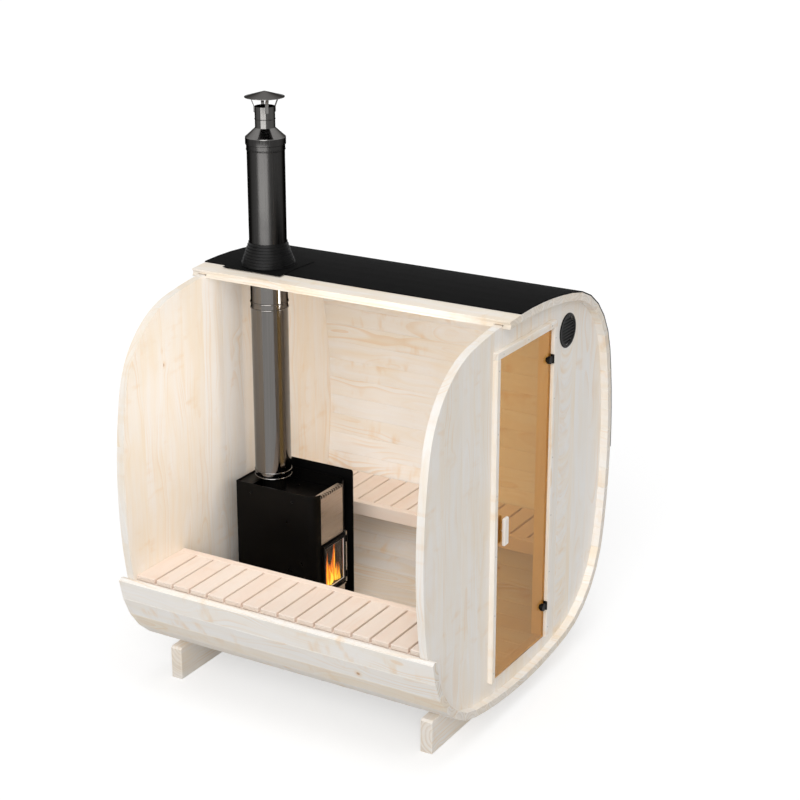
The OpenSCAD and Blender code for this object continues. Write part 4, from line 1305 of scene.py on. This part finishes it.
def log(lot, a, b, radius, seed):
    """A split log from a to b with a knobbly outside and one flat face."""
    rand = random.Random(seed)
    axis, u, v = frame_of(Vector(b) - Vector(a))
    bumps = [rand.uniform(*LOG_BUMPS) for i in range(LOG_TURNS)]
    verts = []
    for i in range(LOG_RINGS):
        middle = Vector(a).lerp(Vector(b), i / (LOG_RINGS - 1))
        end = LOG_END if i in (0, LOG_RINGS - 1) else 1.0
        for j in range(LOG_TURNS):
            turn = 2 * math.pi * j / LOG_TURNS
            r = radius * end * bumps[j] * rand.uniform(*LOG_ROUGH)
            across = min(r * math.cos(turn), radius * LOG_FLAT)
            verts.append(middle + u * across + v * r * math.sin(turn))
    lot.add(verts, rings_to_faces(LOG_RINGS, LOG_TURNS))


EMBERS = 46
EMBER_SIZE = (0.008, 0.017)
EMBER_SUNK = 0.70
EMBER_LIFT = 0.006
EMBER_SEED = 100
EMBER_X = FIRE_X - 0.018
EMBER_FRONT = FIRE_Y[0] + 0.016
lot = Lot()
for i in range(EMBERS):
    size = rng.uniform(*EMBER_SIZE)
    x = rng.uniform(-EMBER_X, EMBER_X)
    y = rng.uniform(EMBER_FRONT, FIRE_Y[1])
    z = HEARTH_Z + size * EMBER_SUNK + rng.uniform(0.0, EMBER_LIFT)
    lump(lot, (x, y, z), size, EMBER_SEED + i)
lot.make("embers", ember_look(), slot="fire_iron", smooth=50)

# Both ends, with their heights above the hearth, the radius and the seed
LOGS = [
    ((-0.055, 0.300, 0.050), (0.070, 0.350, 0.056), 0.030, 5),
    ((0.058, 0.295, 0.092), (-0.060, 0.385, 0.098), 0.027, 6),
    ((-0.060, 0.430, 0.046), (0.066, 0.440, 0.050), 0.033, 7),
]
hearth = Vector((0.0, 0.0, HEARTH_Z))
lot = Lot()
for a, b, radius, seed in LOGS:
    log(lot, hearth + Vector(a), hearth + Vector(b), radius, seed)
lot.make("fire_logs", bark_look(), slot="fire_iron", smooth=45)

# Place above the hearth, height, half width, lean, phase, and how much of the tongue is yellow
FLAMES = [
    (-0.041, 0.266, 0.000, 0.214, 0.011, 0.3, 0.10, 0.30),
    (-0.036, 0.270, 0.000, 0.105, 0.013, -0.2, 0.92, 0.75),
    (-0.016, 0.264, 0.000, 0.146, 0.018, 0.2, 0.80, 0.98),
    (0.006, 0.268, 0.004, 0.154, 0.016, 0.5, 0.25, 0.92),
    (0.043, 0.270, 0.006, 0.252, 0.013, 0.2, 0.45, 0.50),
    (0.058, 0.268, 0.004, 0.120, 0.011, 0.4, 0.62, 0.55),
    (0.074, 0.264, 0.004, 0.084, 0.009, 0.4, 0.05, 0.40),
    (0.083, 0.263, 0.004, 0.110, 0.006, 0.1, 0.33, 0.50),
    (0.015, 0.290, 0.000, 0.120, 0.013, 0.3, 0.33, 0.40),
    (0.064, 0.290, 0.004, 0.150, 0.012, 0.2, 0.71, 0.40),
]


def flame_layer(name, material, nearer=0.0, up=0.0, tall=1.0, wide=1.0, leaning=1.0, core=False):
    """One layer of all the tongues. The hotter ones lie nearer the glass, in front of the cooler ones."""
    lot = Lot()
    for x, y, z, height, width, lean, phase, yellow in FLAMES:
        share = yellow if core else 1.0
        size = (height * tall * share, width * wide * share)
        flame(lot, x, y - nearer, HEARTH_Z + z + up, *size, lean * leaning, phase)
    lot.make(name, material, slot="fire_glass", smooth=60)


flame_layer("flame_skins", flame_skin)
flame_layer("flame_bodies", flame_body, nearer=0.004, up=0.002, tall=0.80, wide=0.66, leaning=0.8)
flame_layer("flame_cores", flame_core, nearer=0.010, up=0.004, tall=0.66, wide=0.55, leaning=0.5, core=True)

# Studio

SKY = 0.53
FLOOR_GREY = 0.55
FLOOR_LIFT = 0.53
FLOOR_HALF = 400.0
CAMERA_DOWN = 19.58
CAMERA_TURN = 30.57
# Direction, power, and softness in degrees
SUNS = {"key": ((0.80, 0.34, -0.50), 1.46, 40), "top": ((0.10, 0.10, -1.0), 0.50, 30)}
# Place, aim, width, height and power
LAMPS = {
    "inside_lamp": ((0.14, -0.77, 1.78), (-0.15, BACK_INSIDE, 1.25), 0.24, 0.24, 3.8),
    "inside_fill": ((-0.85, -0.45, 1.75), (-0.10, BACK_INSIDE, 2.30), 0.9, 0.8, 7.0),
    "door_lamp": ((-0.25, -0.80, 1.15), (LINING_X, -0.92, 1.15), 0.10, 1.70, 0.85),
    "chimney_card": ((-2.90, -0.05, 2.085), (0.0, PIPE_Y, 2.085), 3.4, 1.07, 92.0),
}


def where_seen(tree, least):
    """One for rays from the camera, off a glossy surface or through glass, and the least level for others."""
    path = tree.nodes.new("ShaderNodeLightPath").outputs
    seen = None
    for ray in ("Is Camera Ray", "Is Glossy Ray", "Is Transmission Ray"):
        node = tree.nodes.new("ShaderNodeMath")
        node.operation = "MAXIMUM"
        tree.links.new(path[ray], node.inputs[0])
        node.inputs[1].default_value = least
        if seen:
            tree.links.new(seen, node.inputs[1])
        seen = node.outputs[0]
    return seen


floor_mesh = bpy.data.meshes.new("studio_floor")
corners = [(x * FLOOR_HALF, y * FLOOR_HALF, 0) for x, y in ((-1, -1), (1, -1), (1, 1), (-1, 1))]
floor_mesh.from_pydata(corners, [], [(0, 1, 2, 3)])
floor = bpy.data.objects.new("studio_floor", floor_mesh)
floor.location.z = -0.0005
bpy.context.scene.collection.objects.link(floor)
g = Graph("studio_floor")
g.set(colour=(FLOOR_GREY, FLOOR_GREY, FLOOR_GREY), rough=0.9, specular=0.0, glow=(1.0, 1.0, 1.0))
# The floor is lifted to white where it is seen, also in metal and through glass, and keeps its shadow
g.set(glow_power=g.times(where_seen(g.material.node_tree, 0.0), FLOOR_LIFT))
floor.data.materials.append(g.material)

world = bpy.data.worlds.new("studio")
bpy.context.scene.world = world
world.use_nodes = True
background = world.node_tree.nodes["Background"]
background.inputs["Color"].default_value = (1.0, 1.0, 1.0, 1.0)
# The sky is white where it is seen, also in metal and through glass, and lights the object at its own level
world.node_tree.links.new(where_seen(world.node_tree, SKY), background.inputs["Strength"])


def lamp(name, kind, way, power):
    """A lamp that shines along the way."""
    light = bpy.data.lights.new(name, kind)
    light.energy = power
    obj = bpy.data.objects.new(name, light)
    obj.rotation_euler = Vector(way).to_track_quat("-Z", "Y").to_euler()
    bpy.context.scene.collection.objects.link(obj)
    return obj


def sun(name, way, power, angle):
    lamp(name, "SUN", way, power).data.angle = math.radians(angle)


def panel(name, at, towards, width, height, power):
    obj = lamp(name, "AREA", Vector(towards) - Vector(at), power)
    obj.location = at
    obj.data.shape = "RECTANGLE"
    obj.data.size = width
    obj.data.size_y = height
    obj.visible_camera = False
    return obj


for name, how in SUNS.items():
    sun(name, *how)
lamps = {name: panel(name, *how) for name, how in LAMPS.items()}
lamps["inside_fill"].visible_glossy = False
lamps["door_lamp"].visible_glossy = False
lamps["door_lamp"].visible_transmission = False
# This one shows only as a reflection, for the highlight on the chimney
lamps["chimney_card"].visible_diffuse = False
lamps["chimney_card"].visible_transmission = False

camera_data = bpy.data.cameras.new("camera")
camera_data.sensor_width = 36.0
camera_data.lens = 83.45
camera_data.clip_end = 2000.0
camera = bpy.data.objects.new("camera", camera_data)
camera.location = (-8.27, -5.09, 5.053)
camera.rotation_euler = (math.radians(90 - CAMERA_DOWN), 0.0, math.radians(CAMERA_TURN - 90))
bpy.context.scene.collection.objects.link(camera)
bpy.context.scene.camera = camera
bpy.context.scene.view_settings.view_transform = "Standard"
